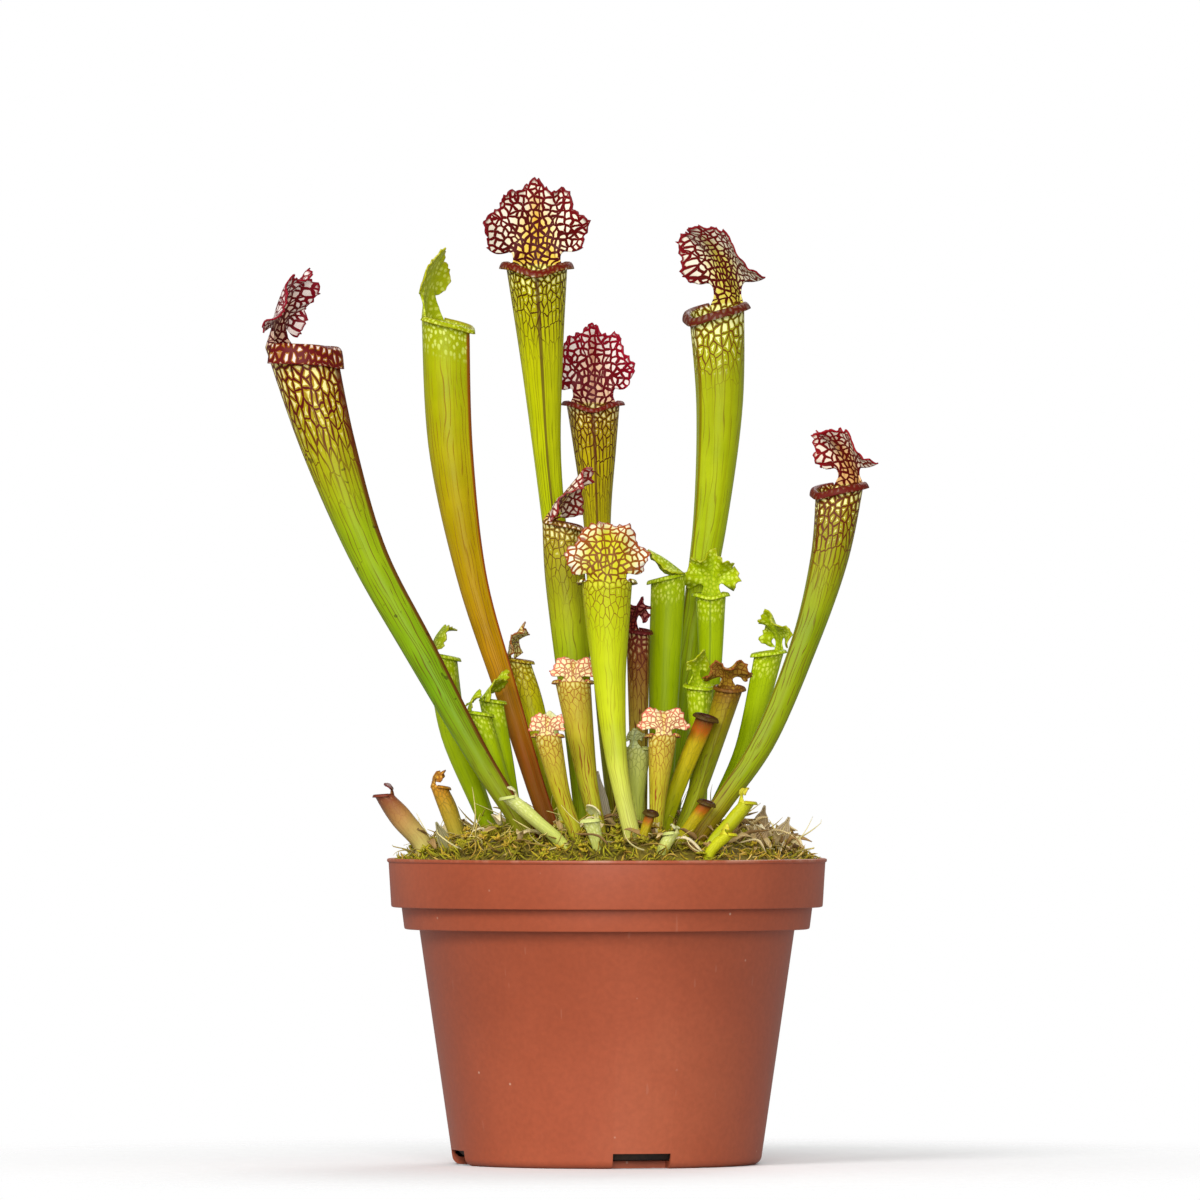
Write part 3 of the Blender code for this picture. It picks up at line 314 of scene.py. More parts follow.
def centre_line(shape):
    """Points (x, y, z, diameter) of a leaf from its foot on the crown to its mouth."""
    stem = shape["stem"]
    y_root, y_mouth = shape["depth"]
    low = stem[0][1]
    high = stem[-1][1]
    x, z, width = stem[0]
    buried = min(width, ROOT_WIDEST)
    foot = ROOT_FOOT if math.hypot(x, y_root) < CROWN_REACH else SHALLOW_FOOT
    points = [(x, y_root, foot, buried * 0.8), (x, y_root, (foot + z) / 2, buried)]
    for x, z, width in stem:
        share = (z - low) / (high - low)
        points.append((x, y_root + (y_mouth - y_root) * share, z, width))
    return points


def section(shape, line, t):
    """Centre, radius and the three directions of the tube's cross-section at t."""
    x, y, z, width = through(line, t)
    ahead = Vector(through(line, min(t + 0.02, 1.0))[:3])
    behind = Vector(through(line, max(t - 0.02, 0.0))[:3])
    along = (ahead - behind).normalized()
    faces = heading(shape["faces"])
    lean = math.radians(shape["tilt"])
    mouth_axis = Vector((0, 0, 1)) * math.cos(lean) + faces * math.sin(lean)
    axis = along.lerp(mouth_axis, smooth((t - MOUTH_TURN_START) / (1 - MOUTH_TURN_START))).normalized()
    forward = (faces - axis * faces.dot(axis)).normalized()
    return Vector((x, y, z)), width / 2, forward, axis.cross(forward), axis


def tube_point(shape, line, t, angle):
    """Point of the tube's outside at t, with the angle counted from the front of the leaf."""
    centre, radius, forward, side, axis = section(shape, line, t)
    turn = math.remainder(angle, math.tau)
    keel = shape["wing"] * math.exp(-(turn / KEEL_SPREAD) ** 2) * smooth(t / 0.4)
    droop = shape["dip"] * math.exp(-(turn / DIP_SPREAD) ** 2) * smooth((t - DIP_START) / (1 - DIP_START))
    reach = radius + keel
    return centre + (forward * math.cos(angle) + side * math.sin(angle)) * reach - axis * droop


def lip_point(shape, line, roll, angle):
    """Point of the lip, rolled outwards from the mouth by roll degrees."""
    _, _, forward, side, axis = section(shape, line, 1.0)
    out = forward * math.cos(angle) + side * math.sin(angle)
    bend = math.radians(roll)
    curl = shape["lip"] * 0.5
    edge = tube_point(shape, line, 1.0, angle)
    hang = shape["drape"] * smooth((roll - HANG_START) / (HANG_END - HANG_START))
    return edge + out * curl * (1 - math.cos(bend)) + axis * (curl * math.sin(bend) - hang)


def midrib(form, steps=40):
    """Forward reach, rise and slope along the hood's middle, at even steps of its length."""
    length = form["neck"] + form["fan"]
    forward = 0.0
    rise = 0.0
    rows = []
    for i in range(steps + 1):
        slope = math.radians(form["lean"] + form["arch"] * (i / steps) ** 1.3)
        rows.append((forward, rise, slope))
        forward += math.sin(slope) * length / steps
        rise += math.cos(slope) * length / steps
    return rows


def rib_place(form, rows, along):
    """Forward reach, rise and slope of the hood's middle at a length from the rim."""
    length = form["neck"] + form["fan"]
    share = along / length * (len(rows) - 1)
    if share < 0:
        slope = rows[0][2]
        return math.sin(slope) * along, math.cos(slope) * along, slope
    i = min(int(share), len(rows) - 2)
    f = share - i
    return tuple(a + (b - a) * f for a, b in zip(rows[i], rows[i + 1]))


def hood_point(shape, line, rows, half, across, up):
    """Point of the hood's back. across runs from -1 to 1, and up from 0 at the rim to 1 at the edge."""
    form = shape["hood"]
    centre, radius, forward, side, axis = section(shape, line, 1.0)
    back = centre - forward * radius
    angle = math.pi + across * half
    arc = (forward * math.cos(angle) + side * math.sin(angle)) * radius + forward * radius
    reach, rise, _ = rib_place(form, rows, form["neck"] * min(up / NECK_SHARE, 1.0))
    narrow = 1.0 - form["pinch"] * smooth(up / PINCH_SHARE)
    neck = back + forward * reach + axis * rise + arc * narrow

    turn = -across * math.radians(form["spread"]) * (1 - form["fold"] * (1 - smooth(up)))
    turn += math.radians(form["skew"]) * smooth(up)
    lobes = SCALLOP * math.cos((form["waves"] + 3) * turn)
    point = form["point"] * math.exp(-(turn / POINT_SPREAD) ** 2)
    span = form["fan"] * up * (1 + (lobes + point) * up) * (1 - CORNER_ROUNDING * up * across ** 8)
    wave = form["ruffle"] * up ** RUFFLE_POWER * math.sin(form["waves"] * turn + shape["faces"])
    cup = CUP * (span * math.sin(turn)) ** 2
    reach, rise, slope = rib_place(form, rows, form["neck"] + span * math.cos(turn))
    through_blade = forward * math.cos(slope) - axis * math.sin(slope)
    wide = form["wide"] * (1 + form["uneven"] * math.sin(turn / 2) * up)
    fan = back + forward * reach + axis * rise + side * (wide * span * math.sin(turn))
    fan = fan + through_blade * (wave + cup)
    return neck.lerp(fan, smooth(up / NECK_SHARE))


def stitch(low, high):
    """Triangles between two rows of (vertex, place), facing out where places run anticlockwise."""
    faces = []
    i = 0
    j = 0
    while i < len(low) - 1 or j < len(high) - 1:
        low_next = low[i + 1][1] if i < len(low) - 1 else math.inf
        high_next = high[j + 1][1] if j < len(high) - 1 else math.inf
        if low_next <= high_next:
            faces.append((low[i][0], low[i + 1][0], high[j][0]))
            i += 1
        else:
            faces.append((low[i][0], high[j + 1][0], high[j][0]))
            j += 1
    return faces


def inner_radius(z):
    """Inside radius of the pot's body at a height."""
    share = z / LOWER_BAND_FOOT
    return BASE_RADIUS + (BODY_TOP_RADIUS - BASE_RADIUS) * share - WALL


def moss_height(x, y):
    """Rise of the moss over its edge, in millimetres, with its lumps."""
    radius = math.hypot(x, y) / (RIM_RADIUS - WALL)
    lumps = math.sin(x * 0.21 + 1.3) * math.sin(y * 0.24 + 0.4) + 0.6 * math.sin(x * 0.47 - y * 0.39)
    return (MOSS_RISE + MOSS_LUMP * lumps) * max(0.0, 1.0 - radius ** 4)


def rgb(red, green, blue):
    """Linear colour, with alpha, from display values of 0 to 255."""
    return (*(((c / 255 + 0.055) / 1.055) ** 2.4 if c > 10 else c / 255 / 12.92 for c in (red, green, blue)), 1.0)


class Shade:
    """Short hand for the nodes of one material."""

    def __init__(self, name):
        self.material = bpy.data.materials.new(name)
        self.material.use_nodes = True
        self.tree = self.material.node_tree
        self.tree.nodes.clear()

    def add(self, kind, inputs=None, **settings):
        """New node with its settings, and its inputs set or linked by name or number."""
        node = self.tree.nodes.new("ShaderNode" + kind)
        for key, value in settings.items():
            setattr(node, key, value)
        for key, value in (inputs or {}).items():
            if isinstance(value, bpy.types.NodeSocket):
                self.tree.links.new(value, node.inputs[key])
            else:
                node.inputs[key].default_value = value
        return node

    def math(self, operation, a, b=0.0, clamp=False):
        node = self.add("Math", {0: a, 1: b}, operation=operation, use_clamp=clamp)
        return node.outputs[0]

    def ease(self, value, low, high, start=0.0, end=1.0):
        """Smooth step of a value from start at low to end at high."""
        keys = {"Value": value, "From Min": low, "From Max": high, "To Min": start, "To Max": end}
        return self.add("MapRange", keys, interpolation_type="SMOOTHSTEP").outputs[0]

    def mix(self, factor, a, b, blend="MIX"):
        node = self.add("Mix", data_type="RGBA", blend_type=blend, clamp_factor=True)
        for key, value in (("Factor_Float", factor), ("A_Color", a), ("B_Color", b)):
            socket = next(s for s in node.inputs if s.identifier == key)
            if isinstance(value, bpy.types.NodeSocket):
                self.tree.links.new(value, socket)
            else:
                socket.default_value = value
        return next(s for s in node.outputs if s.identifier == "Result_Color")

    def ramp(self, value, stops):
        """Colour read from (place, colour) stops."""
        node = self.add("ValToRGB", {0: value})
        elements = node.color_ramp.elements
        while len(elements) > 1:
            elements.remove(elements[-1])
        elements[0].position = stops[0][0]
        elements[0].color = stops[0][1]
        for place, colour in stops[1:]:
            elements.new(place).color = colour
        return node.outputs["Color"]

    def uv(self, name):
        """A UV map's vector and its two parts."""
        vector = self.add("UVMap", uv_map=name).outputs[0]
        parts = self.add("SeparateXYZ", {0: vector})
        return vector, parts.outputs[0], parts.outputs[1]

    def noise(self, vector, scale, detail=2.0, roughness=0.5, colour=False):
        node = self.add("TexNoise", {"Vector": vector, "Scale": scale, "Detail": detail, "Roughness": roughness})
        return node.outputs["Color" if colour else "Fac"]

    def web(self, vector, randomness=0.85):
        """Distance to the nearest edge of a net of cells, in cells."""
        keys = {"Vector": vector, "Scale": 1.0, "Randomness": randomness}
        node = self.add("TexVoronoi", keys, feature="DISTANCE_TO_EDGE", voronoi_dimensions="2D")
        return node.outputs["Distance"]

    def even_web(self, vector, across, along):
        """Distance to a net's nearest edge in millimetres, also where the cells are stretched.
        across and along are the cells in a millimetre each way."""
        near = self.web(vector)
        steps = []
        for offset, scale in (((0.02, 0.0, 0.0), across), ((0.0, 0.02, 0.0), along)):
            beside = self.web(self.add("VectorMath", {0: vector, 1: offset}, operation="ADD").outputs[0])
            slope = self.math("MULTIPLY", self.math("SUBTRACT", beside, near), 50.0)
            steps.append(self.math("POWER", self.math("MULTIPLY", slope, scale), 2.0))
        steepness = self.math("SQRT", self.math("ADD", *steps))
        return self.math("DIVIDE", near, self.math("MAXIMUM", steepness, 0.05))

    def shift(self, vector, offset, amount):
        """A vector moved by a colour centred on zero."""
        centred = self.add("VectorMath", {0: offset, 1: (0.5, 0.5, 0.5)}, operation="SUBTRACT").outputs[0]
        keys = {0: centred, 1: (amount, amount, amount), 2: vector}
        return self.add("VectorMath", keys, operation="MULTIPLY_ADD").outputs[0]

    def bump(self, height, strength, distance):
        keys = {"Height": height, "Strength": strength, "Distance": distance}
        return self.add("Bump", keys).outputs[0]

    def finish(self, colour, roughness, normal=None, through=0.0, **sockets):
        """Principled surface, with a share of light let through where the thing is thin."""
        keys = {"Base Color": colour, "Roughness": roughness}
        keys.update({key.replace("_", " "): value for key, value in sockets.items()})
        if normal is not None:
            keys["Normal"] = normal
        surface = self.add("BsdfPrincipled", keys).outputs[0]
        if through:
            glow = {"Color": colour}
            if normal is not None:
                glow["Normal"] = normal
            lit = self.add("BsdfTranslucent", glow).outputs[0]
            surface = self.add("MixShader", {0: through, 1: surface, 2: lit}).outputs[0]
        self.add("OutputMaterial", {"Surface": surface})
        return self.material


def look(tube, hood_tissue, vein, hood_vein, window, hood_window, lip, net_run=60, window_run=16,
         net=1.0, windows=1.0, stripes=0.35, rib=(190, 150, 40), hood_width=0.2, width=0.13, seam=0.6,
         specks=0.0, dot=0.1, lip_cover=0.9, lip_low=0.55, dots=False, seam_width=0.03, seam_colour=None,
         lines=0.5, cell=1.3, core=(232, 190, 90), core_end=1.92):
    """Colours and strengths of one leaf's markings. tube lists (place, colour) from the root to the mouth.
    net_run and window_run are how far the net and the pale windows reach down from the mouth, width and
    hood_width the half width of a vein and dot the margin round a window, all in millimetres. lines is the
    strength of the long fine veins under the net, cell the width of the net's cells in millimetres, core the
    colour of the windows in the middle of the hood, core_end where it ends on the way from the neck at 1 to
    the margin at 2, and dots asks for round pale dots in place of windows."""
    return {"tube": tube, "hood": hood_tissue, "vein": vein, "hood_vein": hood_vein, "window": window,
            "hood_window": hood_window, "lip": lip, "net_run": net_run, "window_run": window_run,
            "net": net, "windows": windows, "stripes": stripes, "rib": rib, "hood_width": hood_width,
            "width": width, "seam": seam, "specks": specks, "dot": dot, "lip_cover": lip_cover,
            "lip_low": lip_low, "dots": dots, "seam_width": seam_width, "seam_colour": seam_colour or vein,
            "lines": lines, "cell": cell, "core": core, "core_end": core_end}


MAROON = (92, 22, 18)
CRIMSON = (104, 14, 22)
CREAM = (240, 236, 190)

LOOKS = {
    "pitcher_far_left": look(
        ((0, (110, 66, 24)), (0.16, (136, 140, 24)), (0.42, (112, 152, 10)), (0.7, (142, 164, 10)),
         (0.86, (168, 158, 12)), (1, (168, 116, 12))),
        (160, 50, 30), (88, 14, 8), (100, 8, 16), (240, 228, 150), (255, 240, 232), (120, 12, 18),
        net_run=58, window_run=30, specks=0.6, hood_width=0.33, width=0.33, rib=(130, 40, 30), cell=2.1,
        lip_cover=0.25, lip_low=1.5, seam_width=0.1, seam=0.9, lines=0.7, core=(240, 200, 170)),
    "pitcher_left_yellow": look(
        ((0, (80, 42, 22)), (0.12, (108, 56, 24)), (0.28, (150, 80, 14)), (0.45, (172, 122, 1)),
         (0.66, (168, 142, 1)), (0.86, (162, 162, 2)), (1, (158, 172, 4))),
        (172, 184, 14), (134, 90, 6), (140, 150, 8), (220, 228, 120), (214, 222, 100), (150, 140, 14),
        net=0.3, windows=0.75, net_run=14, window_run=9, rib=(176, 190, 40), hood_width=0.08, width=0.08,
        stripes=0.45, seam=0.9, dots=True, seam_width=0.06, seam_colour=(140, 56, 12), lines=0.8, cell=1.35,
        core=(214, 222, 90)),
    "pitcher_tall_centre": look(
        ((0, (118, 96, 20)), (0.3, (170, 188, 6)), (0.62, (182, 194, 4)), (0.88, (182, 184, 4)),
         (1, (176, 162, 10))),
        (190, 110, 14), (74, 40, 4), (84, 8, 8), (242, 238, 160), (255, 248, 226), (104, 14, 8),
        net_run=34, window_run=14, rib=(206, 150, 10), hood_width=0.35, width=0.19, lip_low=0.9, cell=1.55,
        seam=0.8, lines=0.55, core=(244, 208, 80)),
    "pitcher_centre_back": look(
        ((0, (116, 100, 24)), (0.35, (156, 160, 14)), (0.7, (176, 168, 8)), (0.9, (182, 164, 10)),
         (1, (168, 130, 24))),
        (160, 40, 36), (82, 34, 8), (112, 6, 20), (246, 234, 170), (255, 244, 240), (104, 10, 12),
        net_run=44, window_run=13, rib=(170, 70, 40), hood_width=0.35, width=0.19, lip_low=0.95,
        cell=1.5, seam=0.8, lines=0.75, core=(248, 206, 170)),
    "pitcher_centre_mid": look(
        ((0, (128, 124, 20)), (0.3, (142, 164, 10)), (0.7, (150, 166, 10)), (0.93, (166, 156, 26)),
         (1, (164, 130, 36))),
        (170, 86, 36), (92, 50, 16), (100, 14, 16), (236, 230, 160), (250, 230, 212), (118, 52, 26),
        net_run=30, window_run=10, net=0.9, rib=(160, 90, 36), hood_width=0.3, width=0.14, cell=1.5, lines=0.6),
    "pitcher_front_centre": look(
        ((0, (208, 206, 140)), (0.3, (204, 208, 100)), (0.6, (190, 200, 30)), (0.85, (178, 190, 10)),
         (1, (176, 178, 12))),
        (190, 170, 20), (120, 66, 14), (116, 22, 14), (214, 210, 60), (255, 250, 232), (130, 60, 20),
        net_run=20, window_run=6, net=0.85, windows=0.8, stripes=0.2, rib=(190, 184, 16), hood_width=0.26,
        width=0.11, lines=0.35, cell=1.6, core=(206, 204, 40), core_end=2.15),
    "pitcher_tall_right": look(
        ((0, (112, 100, 24)), (0.25, (146, 172, 8)), (0.6, (162, 180, 4)), (0.88, (160, 168, 6)),
         (1, (156, 150, 12))),
        (150, 70, 20), (104, 56, 8), (92, 12, 10), (248, 246, 170), (255, 246, 224), (90, 16, 12),
        net_run=28, window_run=17, rib=(176, 150, 16), hood_width=0.32, width=0.19, lip_low=1.0, cell=1.95,
        core=(228, 214, 90)),
    "pitcher_far_right": look(
        ((0, (106, 58, 26)), (0.14, (150, 104, 20)), (0.35, (140, 156, 8)), (0.7, (134, 152, 4)),
         (0.9, (150, 146, 8)), (1, (150, 120, 14))),
        (170, 76, 30), (96, 38, 8), (108, 14, 12), (248, 242, 160), (255, 240, 220), (100, 20, 14),
        net_run=36, window_run=17, hood_width=0.31, width=0.28, rib=(190, 110, 30), lip_low=1.0, cell=1.7,
        lines=0.7, core=(240, 190, 120)),
}

GREEN = look(
    ((0, (166, 178, 50)), (0.3, (156, 180, 8)), (0.75, (158, 182, 4)), (1, (168, 190, 8))),
    (168, 188, 8), (104, 126, 6), (112, 132, 6), (226, 234, 100), (222, 232, 100), (140, 150, 10),
    net=0.4, windows=0.7, net_run=16, window_run=7, rib=(164, 186, 14), hood_width=0.1, width=0.08,
    stripes=0.3, dots=True, lines=0.3, cell=1.15, core=(200, 210, 60))
LEFT_NET = look(
    ((0, (160, 160, 50)), (0.4, (178, 188, 14)), (0.8, (194, 192, 10)), (1, (190, 166, 24))),
    (180, 140, 20), (96, 56, 12), (104, 50, 14), (232, 226, 120), (240, 230, 150), (110, 56, 20),
    net=0.75, net_run=22, window_run=12, hood_width=0.14, width=0.1, core=(220, 200, 60))
PALE = look(
    ((0, (206, 210, 120)), (0.5, (200, 208, 90)), (1, (208, 214, 124))),
    (214, 218, 150), (150, 160, 90), (150, 150, 90), (240, 240, 200), (240, 240, 200), (200, 206, 130),
    net=0.3, windows=0.4, stripes=0.3, rib=(206, 212, 140), hood_width=0.08, width=0.09, seam=0.2)
PINK = look(
    ((0, (190, 196, 90)), (0.35, (180, 188, 46)), (0.75, (182, 170, 38)), (1, (198, 172, 66))),
    (236, 206, 140), (140, 46, 24), (160, 26, 42), (236, 230, 150), (248, 238, 200), (190, 76, 76),
    net=0.75, windows=0.5, net_run=15, window_run=7, stripes=0.4, rib=(222, 196, 100), hood_width=0.16,
    width=0.1, seam=0.3, lines=0.95, core=(238, 220, 150))
BROWN = look(
    ((0, (150, 136, 40)), (0.3, (152, 160, 18)), (0.7, (146, 152, 14)), (0.92, (150, 130, 16)),
     (1, (124, 78, 20))),
    (150, 104, 30), (96, 70, 16), (96, 40, 14), (196, 160, 50), (206, 170, 70), (96, 50, 20),
    net=0.6, windows=0.4, net_run=12, window_run=5, rib=(160, 120, 30), hood_width=0.12, width=0.1, seam=0.4,
    lines=0.8, core=(180, 150, 40))
DARK_RED = look(
    ((0, (170, 176, 60)), (0.45, (176, 170, 60)), (0.75, (166, 134, 50)), (0.95, (126, 60, 30)),
     (1, (96, 14, 14))),
    (112, 16, 20), (90, 26, 20), (70, 4, 12), (214, 190, 130), (206, 130, 120), (84, 8, 14),
    net=0.9, windows=0.6, net_run=34, window_run=16, rib=(110, 24, 20), hood_width=0.2, lines=0.9,
    core=(170, 80, 60))
GREY = look(
    ((0, (196, 206, 80)), (0.5, (194, 204, 70)), (0.82, (188, 196, 90)), (1, (188, 192, 110))),
    (190, 196, 120), (80, 90, 40), (60, 64, 36), (220, 224, 170), (214, 218, 170), (176, 182, 110),
    net=0.45, windows=0.4, net_run=12, window_run=6, rib=(170, 178, 130), hood_width=0.12, width=0.1,
    core=(190, 200, 150))
CUT = look(
    ((0, (140, 150, 24)), (0.5, (158, 168, 12)), (0.88, (180, 156, 16)), (0.94, (176, 86, 14)),
     (1, (64, 24, 12))),
    (120, 70, 30), (110, 110, 24), (90, 50, 20), (190, 170, 70), (190, 170, 70), (58, 22, 16),
    net=0.25, windows=0.1, net_run=30, window_run=6, stripes=0.6, seam=0.2)
BUD = look(
    ((0, (222, 212, 150)), (0.45, (204, 190, 108)), (0.78, (176, 130, 74)), (1, (124, 56, 40))),
    (112, 46, 34), (140, 80, 50), (76, 30, 24), (206, 180, 120), (150, 90, 70), (92, 40, 30),
    net=0.3, windows=0.2, net_run=12, window_run=5, stripes=0.35, rib=(120, 66, 50), seam=0.3, lines=0.25)
CURLED = look(
    ((0, (150, 160, 60)), (0.5, (168, 168, 64)), (0.85, (190, 154, 44)), (1, (192, 124, 26))),
    (200, 134, 30), (116, 104, 36), (80, 38, 18), (226, 190, 80), (226, 180, 70), (116, 66, 28),
    net=0.55, windows=0.4, net_run=16, window_run=5, stripes=0.6, rib=(206, 150, 40), hood_width=0.22)
YELLOW = look(
    ((0, (168, 160, 30)), (0.4, (174, 184, 20)), (1, (194, 194, 24))),
    (206, 200, 36), (140, 140, 20), (150, 130, 20), (236, 230, 120), (236, 230, 120), (190, 150, 30),
    net=0.3, windows=0.3, net_run=12, window_run=5, stripes=0.4, rib=(206, 196, 40), hood_width=0.08,
    seam=0.3, core=(226, 216, 80))

LOOKS.update({
    "pitcher_green_mid": GREEN, "pitcher_green_frilled": GREEN, "pitcher_green_right": GREEN,
    "pitcher_withered": BROWN, "pitcher_green_cup": GREEN, "pitcher_dark_red": DARK_RED,
    "pitcher_pink_back_view": PINK, "pitcher_grey_speckled": GREY, "pitcher_pink_striped": PINK,
    "pitcher_small_pink": PINK, "pitcher_green_behind_left": GREEN, "pitcher_green_left_low": GREEN,
    "pitcher_green_left_mid": GREEN, "pitcher_netted_left": LEFT_NET, "pitcher_yellow_hook": YELLOW,
    "pitcher_yellow_low": YELLOW, "tiny_pale_left": PALE, "tiny_pale_centre": PALE, "tiny_pale_right": PALE,
    "tiny_pale_behind": PALE, "tube_cut_tall": CUT, "tube_cut_short": CUT, "tube_cut_tiny": CUT,
    "bud_far_left": BUD, "curled_left": CURLED,
})

SLOTS = {"net": "leaf_netted", "yellow": "leaf_yellow", "green": "leaf_green", "pale": "leaf_pale",
         "pink": "leaf_pink", "red": "leaf_red", "brown": "leaf_brown", "dry": "dry_leaf"}


def leaf_material(name, colours, seed, length):
    """Leaf skin: tissue that changes from root to hood, a raised net of veins and pale windows between them."""
    m = Shade(name)
    place, along, across = m.uv("place")
    cells, _, _ = m.uv("cells")
    lip = m.add("Attribute", attribute_name="lip").outputs["Fac"]
    half = m.math("MULTIPLY", along, 0.5)
    on_hood = m.ease(along, 1.0, 1.06)
    coordinates = m.add("TexCoord").outputs["Object"]
    blotch = m.noise(coordinates, 90.0 + seed, 3.0)

    drift = m.noise(cells, 0.9, 1.0, colour=True)
    net = m.shift(cells, drift, 0.55)
    keys = ("cells_across", "cells_along", "reach")
    cells_across, cells_along, reach = (m.add("Attribute", attribute_name=key).outputs["Fac"] for key in keys)
    web = m.even_web(net, cells_across, cells_along)

    stops = [(place_at * 0.5, rgb(*colour)) for place_at, colour in colours["tube"]]
    stops.append((0.53, rgb(*colours["hood"])))
    tissue = m.ramp(half, stops)
    shade = m.ramp(blotch, ((0.3, (0.84, 0.86, 0.8, 1)), (0.7, (1.14, 1.12, 1.06, 1))))
    tissue = m.mix(0.7, tissue, shade, "MULTIPLY")

    middle = m.math("ABSOLUTE", across)
    rib = m.math("MULTIPLY", m.ease(middle, 0.2, 0.05), m.ease(along, 1.0, 1.06))
    rib = m.math("MULTIPLY", rib, m.ease(along, 1.96, 1.7))
    tissue = m.mix(rib, tissue, rgb(*colours["rib"]))

    long_cells = m.add("Mapping", {"Vector": place, "Scale": (2.5, 15.0, 1.0)}).outputs[0]
    stripe = m.math("MULTIPLY", m.ease(m.noise(long_cells, 1.0, 3.0, 0.6), 0.5, 0.68), colours["stripes"])
    stripe = m.math("MULTIPLY", stripe, m.ease(along, 1.02, 0.9))
    red, green, blue = colours["hood_vein"]
    vein_colour = m.ramp(half, ((0.0, rgb(*colours["vein"])), (0.49, rgb(*colours["vein"])),
                                (0.54, rgb(red * 0.85, green, blue)), (0.8, rgb(red, green, blue)),
                                (1.0, rgb(red * 1.3 + 8, green, blue * 1.5 + 8))))
    dark = m.mix(0.6, tissue, vein_colour)
    skin = m.mix(stripe, tissue, dark)

    sway = m.noise(m.add("Mapping", {"Vector": place, "Scale": (9.0, 4.0, 1.0)}).outputs[0], 1.0, 1.0)
    strand = m.math("ADD", m.add("SeparateXYZ", {0: cells}).outputs[0], m.math("MULTIPLY", sway, 3.0))
    strand = m.math("DIVIDE", m.math("PINGPONG", strand, 0.5), cells_across)
    strand = m.ease(strand, 0.16, 0.04)
    breaks = m.add("Mapping", {"Vector": place, "Scale": (5.0, 26.0, 1.0)}).outputs[0]
    strand = m.math("MULTIPLY", strand, m.ease(m.noise(breaks, 1.0, 2.0), 0.42, 0.56))
    strand = m.math("MULTIPLY", strand, m.ease(along, 0.02, 0.2, 0.0, colours["lines"]))
    strand = m.math("MULTIPLY", strand, m.ease(along, 1.0 - 5.0 / length, 1.0 - 16.0 / length))

    outward = m.ease(m.math("ADD", along, m.math("MULTIPLY", middle, 0.35)),
                     colours["core_end"] - 0.5, colours["core_end"])
    inner = m.mix(outward, rgb(*colours["core"]), rgb(*colours["hood_window"]))
    pale = m.mix(on_hood, rgb(*colours["window"]), inner)
    pale = m.mix(m.ease(lip, 0.0, 0.1), pale, rgb(*colours["hood_window"]))
    far = 1.0 - colours["net_run"] / length
    width = m.ease(along, far, 1.0, colours["width"] * 0.4, colours["width"])
    width = m.math("ADD", width, m.math("MULTIPLY", on_hood, colours["hood_width"] - colours["width"]))
    clear = m.math("SUBTRACT", web, width)
    down = m.math("MULTIPLY", m.math("SUBTRACT", 1.0, along), length / colours["window_run"])
    margin = m.math("ADD", m.ease(down, 0.0, 1.0, 0.0, 0.75), m.math("MULTIPLY", m.math("SUBTRACT", 1.0, on_hood), 0.08))
    margin = m.math("ADD", margin, m.math("MULTIPLY", m.math("SUBTRACT", 1.0, on_hood), colours["dot"]))
    window = m.ease(m.math("SUBTRACT", clear, margin), -0.02, 0.08)
    if colours["dots"]:
        keys = {"Vector": net, "Scale": 1.0, "Randomness": 0.7}
        middle_of_cell = m.add("TexVoronoi", keys, feature="F1", voronoi_dimensions="2D").outputs["Distance"]
        window = m.ease(middle_of_cell, 0.36, 0.2)
    patch = m.ease(m.noise(cells, 0.55, 1.0), 0.26, 0.44)
    patch = m.math("MULTIPLY", m.math("MAXIMUM", patch, on_hood), m.ease(down, 1.05, 0.9))
    window = m.math("MULTIPLY", m.math("MULTIPLY", window, patch), m.ease(down, 0.3, 1.0, colours["windows"], 0.35))
    window = m.math("MULTIPLY", window, m.math("SUBTRACT", 1.0, m.math("MULTIPLY", rib, 0.55)))
    skin = m.mix(m.math("MULTIPLY", window, 0.96), skin, pale)

    grown = m.ease(m.math("ADD", along, m.math("MULTIPLY", m.math("SUBTRACT", blotch, 0.5), 14 / length)),
                   far, far + 0.7 * colours["net_run"] / length, 0.0, colours["net"])
    vein = m.math("MULTIPLY", m.ease(clear, 0.07, -0.05), grown)
    vein = m.math("MAXIMUM", vein, strand)
    rays = m.math("ADD", m.math("MULTIPLY", across, 3.0), m.math("MULTIPLY", m.noise(cells, 0.35, 1.0), 0.5))
    rays = m.math("MULTIPLY", m.math("PINGPONG", rays, 0.5), m.math("MULTIPLY", reach, 0.33))
    rays = m.ease(rays, colours["hood_width"] + 0.08, colours["hood_width"] - 0.08)
    rays = m.math("MULTIPLY", rays, m.ease(along, 1.12, 1.3))
    vein = m.math("MAXIMUM", vein, m.math("MULTIPLY", rays, colours["net"]))
    edge = m.math("MULTIPLY", m.ease(along, 1.93, 1.985), colours["net"])
    vein = m.math("MAXIMUM", vein, edge)
    skin = m.mix(vein, skin, vein_colour)
    low_edge = colours["lip_low"]
    lip_tint = m.math("MULTIPLY", m.ease(lip, 0.05, 0.25), m.ease(lip, low_edge + 0.15, low_edge - 0.1))
    lip_tint = m.math("MAXIMUM", m.math("MULTIPLY", lip_tint, colours["lip_cover"]), m.ease(lip, 0.86, 0.97, 0.0, 0.7))
    skin = m.mix(lip_tint, skin, rgb(*colours["lip"]))

